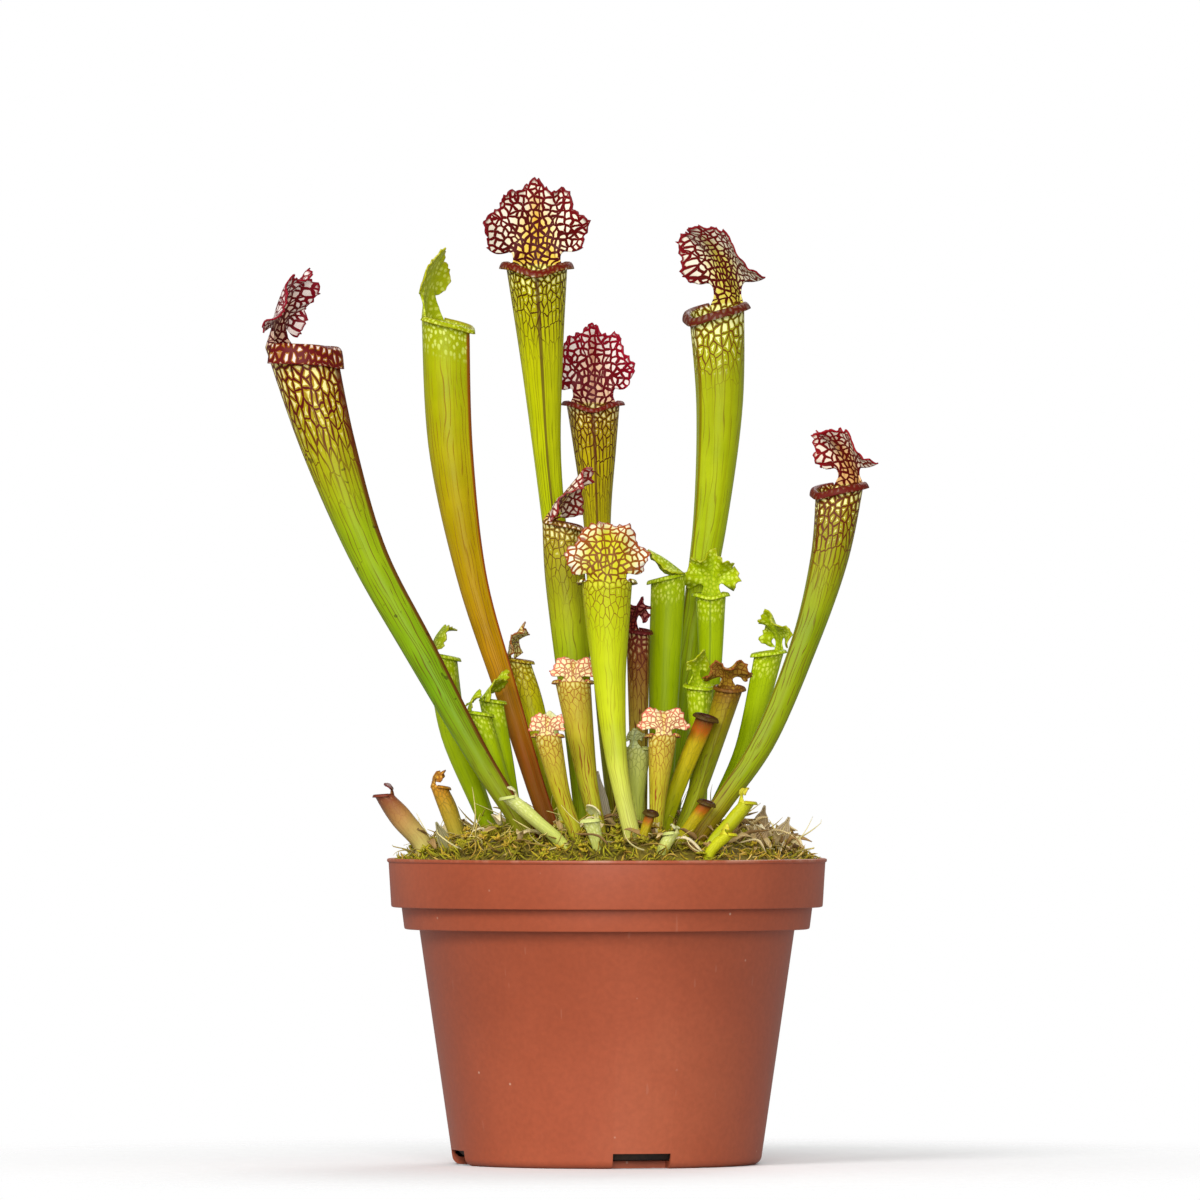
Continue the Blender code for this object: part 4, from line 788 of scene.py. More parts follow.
    seam_edge = 1.0 - colours["seam_width"]
    seam = m.math("MULTIPLY", m.ease(middle, seam_edge, 0.5 * (1.0 + seam_edge)), m.ease(along, 1.01, 0.99))
    skin = m.mix(m.math("MULTIPLY", seam, colours["seam"]), skin, rgb(*colours["seam_colour"]))
    if colours["specks"]:
        spots = m.noise(coordinates, 420.0, 1.0)
        spots = m.math("MULTIPLY", m.ease(spots, 0.7, 0.76), colours["specks"])
        skin = m.mix(spots, skin, rgb(50, 26, 10))

    relief = m.math("SUBTRACT", m.math("MULTIPLY", window, 0.5), m.math("MULTIPLY", stripe, 0.4))
    relief = m.math("SUBTRACT", relief, m.math("MULTIPLY", vein, -0.6))
    relief = m.math("ADD", relief, m.math("MULTIPLY", m.noise(coordinates, 900.0), 0.3))
    normal = m.bump(relief, 0.4, 0.00025)
    roughness = m.ease(blotch, 0.3, 0.75, 0.36, 0.5)
    return m.finish(skin, roughness, normal, Specular_IOR_Level=0.12)


def fine_leaf(shape, seed):
    """Finely divided leaf on the same curves as its solid, with the coordinates that its markings read."""
    line = centre_line(shape)
    large = shape in LARGE_LEAVES
    tiny = shape["stem"][-1][2] <= TINY_MOUTH
    sides = 60 if large else 24 if tiny else 32
    tube_rows = 64 if large else 24 if tiny else 36
    hood_steps = sides // 6 if large or tiny else sides // 8
    hooded = shape["hood"] is not None
    points = []
    lips = []
    faces = []
    place_corners = []
    cell_corners = []

    length = 0.0
    lengths = [0.0]
    for i in range(tube_rows):
        a = Vector(through(line, i / tube_rows)[:3])
        b = Vector(through(line, (i + 1) / tube_rows)[:3])
        length += (b - a).length
        lengths.append(length)
    mouth_width = shape["stem"][-1][2]
    cell = min(LOOKS[shape["name"]]["cell"], mouth_width / 4)
    around = max(8, round(math.pi * mouth_width / cell))
    scales = []

    def tube_cell(place, walked):
        down = length - walked
        return place * around, -math.log(1 + CELL_STRETCH * down / cell) / CELL_STRETCH

    def add_row(where, places, marks, scale, lip=0.0):
        start = len(points)
        points.extend(where)
        scales.extend([scale] * len(where))
        lips.extend([lip] * len(where))
        count = len(where)
        return [((start + i % count, mark), p) for i, (p, mark) in enumerate(zip(places, marks))]

    def join(low, high):
        for triangle in stitch(low, high):
            faces.append([corner[0] for corner in triangle])
            place_corners.extend(corner[1][0] for corner in triangle)
            cell_corners.extend(corner[1][1] for corner in triangle)

    angles = [math.tau * i / sides for i in range(sides)]
    shares = [i / sides for i in range(sides + 1)]
    low = None
    first = None
    for i in range(tube_rows + 1):
        t = i / tube_rows
        walked = lengths[i] / length
        marks = [((walked, 2 * s - 1), tube_cell(s, lengths[i])) for s in shares]
        width = through(line, t)[3]
        scale = (around / (math.pi * width), 1 / (cell + CELL_STRETCH * (length - lengths[i])))
        where = [tube_point(shape, line, t, a) for a in angles]
        row = add_row(where, shares, marks, (*scale, math.pi * width / 2))
        if low:
            join(low, row)
        first = first or row
        low = row
    foot = add_row([Vector(line[0][:3])], [0.0], [((0.0, 0.0), (0.0, 0.0))], (1.0, 1.0, 1.0))[0]
    for n in range(sides):
        corners = (foot[0], first[n + 1][0], first[n][0])
        faces.append([c[0] for c in corners])
        place_corners.extend(c[1][0] for c in corners)
        cell_corners.extend(c[1][1] for c in corners)

    mouth = low
    edge = sides // 2 - hood_steps
    if hooded:
        front = [i % sides for i in range(edge + 2 * hood_steps, edge + sides + 1)]
    else:
        front = list(range(sides)) + [0]
    spread = [n / (len(front) - 1) for n in range(len(front))]
    if hooded:
        turns = [s if s > 0.5 else s + 1.0 for s in (i / sides for i in front)]
    else:
        turns = [1.0 + n / sides for n in range(sides + 1)]
    lip_run = shape["lip"] * math.pi / 2 + shape["drape"]
    finer = 1.35
    low = [((mouth[i][0][0], ((1.0, 2 * u - 2), (u * around * finer, 0.0))), s)
           for i, s, u in zip(front, spread, turns)]
    scale = (finer * around / (math.pi * mouth_width), finer / cell, math.pi * mouth_width / 2)
    for step in range(1, LIP_STEPS + 1):
        roll = step * 180.0 / LIP_STEPS
        rise = finer * lip_run / cell * step / LIP_STEPS
        marks = [((1.0, 2 * u - 2), (u * around * finer, rise)) for u in turns]
        around_lip = [angles[i] for i in front] if hooded else angles
        where = [lip_point(shape, line, roll, a) for a in around_lip]
        row = add_row(where, spread, marks, scale, lip=step / LIP_STEPS)
        join(low, row)
        low = row

    if hooded:
        form = shape["hood"]
        half = math.tau * hood_steps / sides
        rib = midrib(form)
        back = range(edge, edge + 2 * hood_steps + 1)
        across = [n / hood_steps - 1 for n in range(2 * hood_steps + 1)]
        rows = 30 if large else 10 if tiny else 18
        most = 84 if large else 24 if tiny else 44
        hood_cell = HOOD_CELL if large else HOOD_CELL / 1.4
        centre, radius, forward, side, axis = section(shape, line, 1.0)
        reach, rise, _ = rib_place(form, rib, form["neck"] + 0.5 * form["fan"])
        upward = (forward * reach + axis * rise).normalized()

        def hood_mark(a, up, point):
            # The hood's cells lie flat over it, and start where the tube's cells end.
            tube_x = (0.5 + a * half / math.tau) * around
            flat = point - (centre - forward * radius)
            flat_x = 0.5 * around - flat.dot(side) / hood_cell
            mix = smooth(up / 0.15)
            return (1 + up, a), (tube_x + (flat_x - tube_x) * mix, flat.dot(upward) / hood_cell * mix)

        low = [((mouth[i][0][0], hood_mark(a, 0.0, points[mouth[i][0][0]])), (a + 1) / 2)
               for i, a in zip(back, across)]
        for r in range(1, rows + 1):
            up = r / rows
            steps = round(2 * hood_steps + (most - 2 * hood_steps) * smooth(up * 1.4))
            places = [2 * n / steps - 1 for n in range(steps + 1)]
            where = [hood_point(shape, line, rib, half, a, up * ragged(shape, a, up)) + frill(shape, a, up)
                     for a in places]
            if large:
                where = [p + fill(form, side, axis, a, up) for p, a in zip(where, places)]
            marks = [hood_mark(a, up, p) for a, p in zip(places, where)]
            breadth = sum((q - p).length for p, q in zip(where, where[1:]))
            scale = (1 / hood_cell, 1 / hood_cell, breadth / 2)
            row = add_row(where, [(a + 1) / 2 for a in places], marks, scale)
            join(low, row)
            low = row

    mesh = bpy.data.meshes.new(shape["name"] + "_leaf")
    mesh.from_pydata([p * MM for p in points], [], faces)
    for name, corners in (("place", place_corners), ("cells", cell_corners)):
        layer = mesh.uv_layers.new(name=name)
        layer.data.foreach_set("uv", [value for corner in corners for value in corner])
    across_scales, along_scales, reaches = zip(*scales)
    for name, values in (("lip", lips), ("cells_across", across_scales), ("cells_along", along_scales),
                         ("reach", reaches)):
        mesh.attributes.new(name, "FLOAT", "POINT").data.foreach_set("value", values)
    mesh.shade_smooth()
    mesh.materials.append(leaf_material(shape["name"], LOOKS[shape["name"]], seed, length))
    leaf_object = bpy.data.objects.new(shape["name"] + "_leaf", mesh)
    bpy.context.scene.collection.objects.link(leaf_object)
    thickness = leaf_object.modifiers.new("Thickness", "SOLIDIFY")
    thickness.thickness = FINE_BLADE * MM
    thickness.offset = -1.0
    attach(leaf_object, "root")
    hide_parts(shape["name"])
    return leaf_object


def fill(form, side, axis, across, up):
    """Shift of a large hood's side edges, in millimetres, that fills the notch beside its neck."""
    share = HOOD_FILL * form["fan"] / 20 * (4 * up * (1 - up)) ** 1.5
    return side * (-0.7 * share * across * abs(across)) - axis * (share * across ** 4)


def ragged(shape, across, up):
    """Share by which the hood's margin runs in and out between its veins."""
    turn = across * form_reach(shape["hood"])
    wave = 0.6 * math.sin(turn * 3.1 + shape["faces"]) + 0.4 * math.sin(turn * 5.3 + 1.0)
    return 1 + 0.45 * shape["hood"]["ruffle"] / shape["hood"]["fan"] * wave * up ** 12


def form_reach(form):
    """Half the length of the hood's margin, in millimetres."""
    return math.radians(form["spread"]) * form["fan"] * form["wide"]


def frill(shape, across, up):
    """Small crimps of the hood's margin, in millimetres, on top of the wide ruffles."""
    form = shape["hood"]
    turn = across * form["spread"] / 57.3
    size = 0.22 * form["ruffle"] * up ** 5
    faces = heading(shape["faces"])
    side = Vector((-faces.y, faces.x, 0.0))
    wave = math.sin(turn * 17.0 + form["fan"])
    tooth = math.sin(turn * 29.0 + 2.0 * form["fan"])
    return faces * (size * wave) + Vector((0, 0, 1)) * (size * 0.8 * tooth) + side * (size * 0.5 * wave * tooth)


def pot_material():
    """Satin moulded plastic with pale dust specks, paler patches along the rim's top edge and faint scratches."""
    m = Shade("pot_plastic")
    coordinates = m.add("TexCoord").outputs["Object"]
    cloud = m.noise(coordinates, 14.0, 4.0)
    body = m.ramp(cloud, ((0.3, rgb(153, 70, 40)), (0.55, rgb(167, 80, 49)), (0.75, rgb(177, 92, 59))))
    grain = m.noise(coordinates, 700.0, 2.0)
    body = m.mix(0.25, body, m.ramp(grain, ((0.3, (0.7, 0.7, 0.7, 1)), (0.7, (1.15, 1.15, 1.15, 1)))), "MULTIPLY")
    specks = m.add("TexVoronoi", {"Vector": coordinates, "Scale": 190.0, "Randomness": 1.0}).outputs["Distance"]
    chosen = m.ease(m.noise(coordinates, 60.0, 1.0), 0.54, 0.64)
    dust = m.math("MULTIPLY", m.ease(specks, 0.09, 0.03, 0.0, 0.8), chosen)
    stretched = m.add("Mapping", {"Vector": coordinates, "Scale": (1.0, 1.0, 0.16)}).outputs[0]
    scratch = m.ease(m.noise(stretched, 520.0, 1.0), 0.75, 0.79, 0.0, 0.09)
    body = m.mix(m.math("MAXIMUM", dust, scratch), body, rgb(206, 164, 140))
    height = m.add("SeparateXYZ", {0: coordinates}).outputs[2]
    # Paler patches along the top edge of the rim, set by height and broken up by noise.
    rim_patches = m.ease(m.noise(coordinates, 160.0, 3.0), 0.45, 0.7)
    rim = m.math("MULTIPLY", m.ease(height, 0.0822, 0.0832), m.math("MULTIPLY", rim_patches, 0.55))
    body = m.mix(rim, body, rgb(196, 150, 128))
    roughness = m.ease(cloud, 0.3, 0.7, 0.44, 0.56)
    normal = m.bump(m.math("ADD", m.math("MULTIPLY", grain, 0.35), m.math("MULTIPLY", dust, 0.6)), 0.12, 0.0002)
    return m.finish(body, roughness, normal, Specular_IOR_Level=0.4)


def grown_material(name, low, high, scale, roughness=0.8, through=0.0, bump=0.5, distance=0.0006):
    """Rough natural stuff that varies between two colours."""
    m = Shade(name)
    coordinates = m.add("TexCoord").outputs["Object"]
    cloud = m.noise(coordinates, scale, 5.0, 0.65)
    grain = m.noise(coordinates, scale * 7.0, 3.0)
    mixed = m.math("ADD", m.math("MULTIPLY", cloud, 0.7), m.math("MULTIPLY", grain, 0.3))
    colour = m.ramp(mixed, ((0.35, rgb(*low)), (0.62, rgb(*high))))
    return m.finish(colour, roughness, m.bump(grain, bump, distance), through=through)


def strand_material(name, stops, through=0.2):
    """Moss or straw: each strand has its own colour from the mesh's tone, paler towards its tip and darker towards its
    root, partly the moss's own colour and partly painted shade low in the mat.
    """
    m = Shade(name)
    tone = m.add("Attribute", attribute_name="tone").outputs["Fac"]
    tip = m.add("Attribute", attribute_name="tip").outputs["Fac"]
    colour = m.ramp(tone, [(place, rgb(*value)) for place, value in stops])
    coordinates = m.add("TexCoord").outputs["Object"]
    cloud = m.noise(coordinates, 60.0, 2.0)
    # Painted shade: each strand darkens towards its root, low in the mat. The paler tips are partly the moss's own
    # colour.
    shade = m.math("ADD", m.ease(tip, 0.0, 0.7, 0.6, 1.2), m.ease(cloud, 0.35, 0.65, -0.15, 0.15))
    pale = m.add("CombineColor", {0: shade, 1: shade, 2: shade}).outputs[0]
    return m.finish(m.mix(1.0, colour, pale, "MULTIPLY"), 0.75, through=through)


def turned_piece(name, profile, sides, finish):
    """Smooth turned piece from (radius, height) points in millimetres, running down its outer side."""
    mesh = bpy.data.meshes.new(name)
    count = len(profile)
    points = []
    for i in range(sides):
        angle = math.tau * i / sides
        points.extend((r * MM * math.cos(angle), r * MM * math.sin(angle), z * MM) for r, z in profile)
    faces = []
    for i in range(sides):
        j = (i + 1) % sides
        for n in range(count - 1):
            faces.append((i * count + n, i * count + n + 1, j * count + n + 1, j * count + n))
    mesh.from_pydata(points, [], faces)
    work = bmesh.new()
    work.from_mesh(mesh)
    bmesh.ops.remove_doubles(work, verts=work.verts, dist=0.000005)
    bmesh.ops.recalc_face_normals(work, faces=work.faces)
    work.to_mesh(mesh)
    work.free()
    piece = bpy.data.objects.new(name, mesh)
    bpy.context.scene.collection.objects.link(piece)
    mesh.materials.append(finish)
    return piece


def show(mesh, name, finish):
    """Object from a mesh, in the scene, with one material."""
    mesh.materials.append(finish)
    thing = bpy.data.objects.new(name, mesh)
    bpy.context.scene.collection.objects.link(thing)
    return thing


def stands_for(piece, slot, *nodes):
    """The piece rides on the object and stands for CAD nodes; slot is not used."""
    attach(piece, "root")
    if nodes:
        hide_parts(*nodes)
    return piece


def fine_pot():
    """Pot with the solid's own profile and slots, smooth round."""
    rim_foot = RIM_RADIUS - BEAD_PROUD - RIM_BAND_TAPER
    lower_foot = LOWER_BAND_RADIUS - LOWER_BAND_TAPER
    bead_foot = RIM_TOP - BEAD_HEIGHT
    rounding = [(BASE_RADIUS - BASE_ROUNDING * (1 - math.cos(math.radians(a))),
                 BASE_ROUNDING * (1 - math.sin(math.radians(a)))) for a in range(5, 91, 17)]
    profile = [
        (0.0, FLOOR),
        (inner_radius(FLOOR) - 1.0, FLOOR),
        (inner_radius(FLOOR + 1.0), FLOOR + 1.0),
        (inner_radius(LOWER_BAND_FOOT + WALL), LOWER_BAND_FOOT + WALL),
        (lower_foot - WALL, LOWER_BAND_FOOT + WALL),
        (LOWER_BAND_RADIUS - WALL, RIM_BAND_FOOT + WALL),
        (rim_foot - WALL, RIM_BAND_FOOT + WALL),
        (RIM_RADIUS - BEAD_PROUD - WALL, RIM_TOP - 0.5),
        (RIM_RADIUS - BEAD_PROUD - WALL + 0.15, RIM_TOP - 0.15),
        (RIM_RADIUS - BEAD_PROUD - WALL + 0.5, RIM_TOP),
        (RIM_RADIUS - 0.45, RIM_TOP),
        (RIM_RADIUS - 0.13, RIM_TOP - 0.13),
        (RIM_RADIUS, RIM_TOP - 0.45),
        (RIM_RADIUS - 0.04, bead_foot + 0.35),
        (RIM_RADIUS - 0.22, bead_foot + 0.1),
        (RIM_RADIUS - BEAD_PROUD, bead_foot),
        (rim_foot, RIM_BAND_FOOT + 0.55),
        (rim_foot - 0.15, RIM_BAND_FOOT + 0.15),
        (rim_foot - 0.6, RIM_BAND_FOOT),
        (LOWER_BAND_RADIUS, RIM_BAND_FOOT),
        (lower_foot, LOWER_BAND_FOOT + 0.55),
        (lower_foot - 0.15, LOWER_BAND_FOOT + 0.15),
        (lower_foot - 0.6, LOWER_BAND_FOOT),
        (BODY_TOP_RADIUS + 0.3, LOWER_BAND_FOOT),
        (BODY_TOP_RADIUS, LOWER_BAND_FOOT - 0.4),
    ] + rounding + [(0.0, 0.0)]
    pot = turned_piece("pot_turned", profile, 180, pot_material())
    cutters = bpy.data.collections.new("slot_cutters")
    for i in range(SLOT_COUNT):
        angle = math.radians(FIRST_SLOT_ANGLE + i * 360.0 / SLOT_COUNT)
        work = bmesh.new()
        bmesh.ops.create_cube(work, size=1.0)
        bmesh.ops.scale(work, verts=work.verts, vec=(SLOT_DEPTH * 2 * MM, SLOT_WIDTH * MM, SLOT_HEIGHT * 2 * MM))
        mesh = bpy.data.meshes.new("slot_cutter")
        work.to_mesh(mesh)
        work.free()
        cutter = bpy.data.objects.new("slot_cutter", mesh)
        cutters.objects.link(cutter)
        cutter.location = Vector((math.cos(angle), math.sin(angle), 0.0)) * (BASE_RADIUS * MM)
        cutter.rotation_euler = (0.0, 0.0, angle)
    cut = pot.modifiers.new("Slots", "BOOLEAN")
    cut.operation = "DIFFERENCE"
    cut.operand_type = "COLLECTION"
    cut.collection = cutters
    cut.solver = "EXACT"
    depsgraph = bpy.context.evaluated_depsgraph_get()
    mesh = bpy.data.meshes.new_from_object(pot.evaluated_get(depsgraph))
    for cutter in list(cutters.objects):
        bpy.data.objects.remove(cutter)
    bpy.data.collections.remove(cutters)
    pot.modifiers.clear()
    pot.data = mesh
    mesh.shade_smooth()
    mesh.set_sharp_from_angle(angle=math.radians(32))
    pot.name = "pot_moulded"
    return stands_for(pot, "pot_plastic", "pot")


def moss_top(x, y):
    """Height of the moss bed, in millimetres."""
    return MOSS_EDGE + moss_height(x, y)


def strands(name, plan, sides, finish, slot):
    """Many tapered strands in one mesh. plan lists (points, radius at each point, tone), in millimetres."""
    points = []
    faces = []
    tones = []
    tips = []
    for path, radii, tone in plan:
        first = len(points)
        last = len(path) - 1
        for i, (middle, radius) in enumerate(zip(path, radii)):
            ahead = path[min(i + 1, last)] - path[max(i - 1, 0)]
            side = ahead.cross(Vector((0.3, 0.2, 1.0))).normalized()
            over = side.cross(ahead).normalized()
            for n in range(sides):
                angle = math.tau * n / sides
                points.append(middle + (side * math.cos(angle) + over * math.sin(angle)) * radius)
                tones.append(tone)
                tips.append(i / last)
        for i in range(last):
            low = first + i * sides
            for n in range(sides):
                m = (n + 1) % sides
                faces.append((low + n, low + m, low + sides + m, low + sides + n))
        faces.append(tuple(first + last * sides + n for n in range(sides)))
    mesh = bpy.data.meshes.new(name)
    mesh.from_pydata([p * MM for p in points], [], faces)
    for key, values in (("tone", tones), ("tip", tips)):
        mesh.attributes.new(key, "FLOAT", "POINT").data.foreach_set("value", values)
    mesh.shade_smooth()
    return stands_for(show(mesh, name, finish), slot)


def stems_at(height):
    """Centre and radius of every leaf's tube where it passes a height."""
    found = []
    for shape in LARGE_LEAVES + SMALL_LEAVES:
        line = centre_line(shape)
        t = 0.0
        while t < 1.0 and through(line, t)[2] < height:
            t += 0.01
        x, y, _, width = through(line, t)
        found.append((x, y, width / 2))
    return found


def moss_place(rng, reach):
    """Random place on the moss, evenly over its disc."""
    radius = reach * math.sqrt(rng.random())
    turn = rng.uniform(0, math.tau)
    return radius * math.cos(turn), radius * math.sin(turn)


def clear_of_stems(x, y, stems, gap):
    return all(math.hypot(x - sx, y - sy) > radius + gap for sx, sy, radius in stems)


def curved_path(rng, start, direction, length, curl, count):
    """Path of a strand that keeps turning as it grows."""
    path = [start]
    heading_now = direction.normalized()
    axis = Vector((rng.gauss(0, 1), rng.gauss(0, 1), rng.gauss(0, 1))).normalized()
    for _ in range(count):
        heading_now = (heading_now + axis.cross(heading_now) * (curl / count)).normalized()
        path.append(path[-1] + heading_now * (length / count))
    return path


def keep_in_pot(path, reach=58.6):
    """Pull the points of a path back inside the rim."""
    kept = []
    for point in path:
        radius = math.hypot(point.x, point.y)
        if radius > reach:
            share = reach / radius
            point = Vector((point.x * share, point.y * share, point.z))
        kept.append(point)
    return kept


def grow_moss(stems):
    """Short curved shoots all over the bed, longer and paler ones among them, and small star-shaped heads."""
    rng = random.Random(7)
    shoots = []
    for _ in range(MOSS_SHOOTS):
        x, y = moss_place(rng, 58.4)
        edge = math.hypot(x, y) / 58.4
        start = Vector((x, y, moss_top(x, y) - 0.6))
        turn = rng.uniform(0, math.tau)
        climb = rng.uniform(0.25, 1.5) * (1.0 - 0.4 * edge)
        direction = Vector((math.cos(turn), math.sin(turn), climb))
        length = rng.uniform(2.2, 5.4) * (1.0 - 0.35 * edge ** 4)
        path = keep_in_pot(curved_path(rng, start, direction, length, rng.uniform(0.4, 1.6), 4))
        thick = rng.uniform(0.22, 0.42)
        radii = [thick * share for share in (1.0, 1.0, 0.85, 0.6, 0.12)]
        debris = smooth((x - 18) / 22) * smooth((rng.random() + 0.15) * 0.9)
        tone = min(max(rng.gauss(0.42, 0.2) + 0.35 * debris, 0.0), 1.0)
        shoots.append((path, radii, tone))
    moss_stops = ((0.0, (92, 72, 10)), (0.22, (140, 126, 10)), (0.45, (174, 168, 16)), (0.62, (190, 160, 34)),
                  (0.78, (200, 160, 62)), (1.0, (236, 210, 124)))
    green = strand_material("moss_shoots", moss_stops)
    strands("moss_shoots", shoots, 3, green, "moss")

    heads = []
    for _ in range(MOSS_HEADS):
        x, y = moss_place(rng, 55.0)
        if not clear_of_stems(x, y, stems, 1.5) or rng.random() < smooth((x - 10) / 30) * 0.8:
            continue
        middle = Vector((x, y, moss_top(x, y) + rng.uniform(1.0, 2.8)))
        tone = rng.uniform(0.25, 0.7)
        for n in range(9):
            turn = math.tau * n / 9 + rng.uniform(-0.2, 0.2)
            direction = Vector((math.cos(turn), math.sin(turn), rng.uniform(-0.1, 0.9)))
            length = rng.uniform(1.1, 1.9)
            path = curved_path(rng, middle, direction, length, 0.7, 3)
            heads.append((path, (0.34, 0.42, 0.3, 0.06), tone + rng.uniform(-0.08, 0.08)))
    strands("moss_heads", heads, 3, green, "moss")

    straw = []
    for _ in range(STRAWS):
        x, y = moss_place(rng, 54.0)
        start = Vector((x, y, moss_top(x, y) + rng.uniform(0.4, 1.6)))
        turn = rng.uniform(0, math.tau)
        direction = Vector((math.cos(turn), math.sin(turn), rng.uniform(0.0, 0.5)))
        length = rng.uniform(6, 16)
        path = keep_in_pot(curved_path(rng, start, direction, length, rng.uniform(0.4, 1.8), 9))
        path = [Vector((p.x, p.y, max(p.z, moss_top(p.x, p.y) + 0.5))) for p in path]
        thick = rng.uniform(0.14, 0.3)
        radii = [thick * (1 - 0.75 * (i / 9) ** 2) for i in range(10)]
        straw.append((path, radii, rng.random()))
    straw_stops = ((0.0, (150, 116, 48)), (0.35, (190, 164, 76)), (0.65, (220, 202, 110)), (1.0, (240, 228, 164)))
    strands("moss_straw", straw, 4, strand_material("moss_straw", straw_stops), "dry_leaf")


def dry_flakes():
    """Curled flakes of old leaf that lie on the moss, most of them at the right."""
    rng = random.Random(19)
    points = []
    faces = []
    tones = []
    for _ in range(DRY_FLAKES):
        x, y = moss_place(rng, 55.0)
        if rng.random() > 0.16 + 0.84 * smooth((x - 8) / 20):
            continue
        length = rng.uniform(4.0, 10.0)
        wide = rng.uniform(1.0, 2.6)
        turn = rng.uniform(0, math.tau)
        ahead = Vector((math.cos(turn), math.sin(turn), rng.uniform(-0.1, 0.7))).normalized()
        if math.hypot(x + ahead.x * length, y + ahead.y * length) > 57.5:
            ahead.x = -ahead.x
            ahead.y = -ahead.y
        side = ahead.cross(Vector((rng.uniform(-0.5, 0.5), rng.uniform(-0.5, 0.5), 1.0))).normalized()
        up = side.cross(ahead)
        middle = Vector((x, y, moss_top(x, y) + rng.uniform(0.5, 1.8)))
        tone = rng.random()
        bend = rng.uniform(0.5, 2.2)
        first = len(points)
        for i in range(7):
            t = i / 6
            half = wide * math.sin(math.pi * (0.12 + 0.86 * t)) ** 0.8 / 2 * (1 + 0.2 * math.sin(9 * t + x))
            spine = middle + ahead * (length * t) + up * (bend * math.sin(math.pi * t) + 0.3 * math.sin(7 * t + y))
            for a in (-1, -0.5, 0, 0.5, 1):
                curl = up * (half * 0.7 * a * a)
                points.append(spine + side * (half * a) + curl)
                tones.append(min(max(tone + rng.uniform(-0.06, 0.06), 0.0), 1.0))
        for i in range(6):
            for n in range(4):
                low = first + i * 5 + n
                faces.append((low, low + 1, low + 6, low + 5))
    mesh = bpy.data.meshes.new("dry_flakes")
    mesh.from_pydata([p * MM for p in points], [], faces)
    mesh.attributes.new("tone", "FLOAT", "POINT").data.foreach_set("value", tones)
    mesh.attributes.new("tip", "FLOAT", "POINT").data.foreach_set("value", [0.7] * len(points))
    mesh.shade_smooth()
    stops = ((0.0, (120, 88, 46)), (0.3, (164, 130, 76)), (0.6, (198, 170, 112)), (0.85, (222, 204, 152)),
             (1.0, (238, 226, 190)))
    flakes = stands_for(show(mesh, "dry_flakes", strand_material("dry_flakes", stops)), "dry_leaf")
    thickness = flakes.modifiers.new("Thickness", "SOLIDIFY")
    thickness.thickness = 0.15 * MM


def dry_blade(name, kind, root, tip, width, bow, tones):
    """Pointed dry blade on the solid's own line, ribbed along and ragged at its margin."""
    root = Vector(root)
    tip = Vector(tip)
    length = tip - root
    side = Vector((0, 1, 0)).cross(length).normalized()
    facing = length.cross(side).normalized()
    rows = 26
    columns = 12
    points = []
    marks = []
    for i in range(rows + 1):
        t = i / rows
        half = width * (0.28 + 0.72 * max(0.0, math.sin(math.pi * min(t * 1.15, 1.0))) ** 0.8) / 2
        if t > 0.75:
            half = half + (0.02 - half) * ((t - 0.75) / 0.25) ** 1.2
        middle = root + length * t + facing * (bow * math.sin(math.pi * t))
        ragged = 1 + 0.07 * math.sin(31 * t + width) * math.sin(13 * t)
        for n in range(columns + 1):
            a = 2 * n / columns - 1
            fold = facing * (width * 0.14 * (1 - abs(a)) + 0.12 * math.sin(a * 9.0) * (1 - t))
            points.append(middle + side * (half * ragged * a) + fold)
            marks.append((t, a))
    faces = []
    for i in range(rows):
        for n in range(columns):
            low = i * (columns + 1) + n
            faces.append((low, low + 1, low + columns + 2, low + columns + 1))
    mesh = bpy.data.meshes.new(name)
    mesh.from_pydata([p * MM for p in points], [], faces)
    layer = mesh.uv_layers.new(name="place")
    corners = [marks[loop.vertex_index] for loop in mesh.loops]
    layer.data.foreach_set("uv", [value for corner in corners for value in corner])
    mesh.shade_smooth()
    m = Shade(name)
    _, along, across = m.uv("place")
    coordinates = m.add("TexCoord").outputs["Object"]
    cloud = m.noise(coordinates, 160.0, 3.0)
    colour = m.ramp(m.math("ADD", along, m.math("MULTIPLY", cloud, 0.3)),
                    [(place, rgb(*value)) for place, value in tones])
    rib = m.math("SINE", m.math("MULTIPLY", m.math("ADD", across, m.math("MULTIPLY", cloud, 0.1)), 16.0))
    colour = m.mix(m.ease(rib, 0.3, 1.0, 0.0, 0.45), colour, rgb(112, 74, 54))
    finish = m.finish(colour, 0.7, m.bump(rib, 0.4, 0.0002), through=0.3)
    blade = stands_for(show(mesh, name + "_blade", finish), SLOTS[kind], name)
    thickness = blade.modifiers.new("Thickness", "SOLIDIFY")
    thickness.thickness = 0.35 * MM
    thickness.offset = -1.0


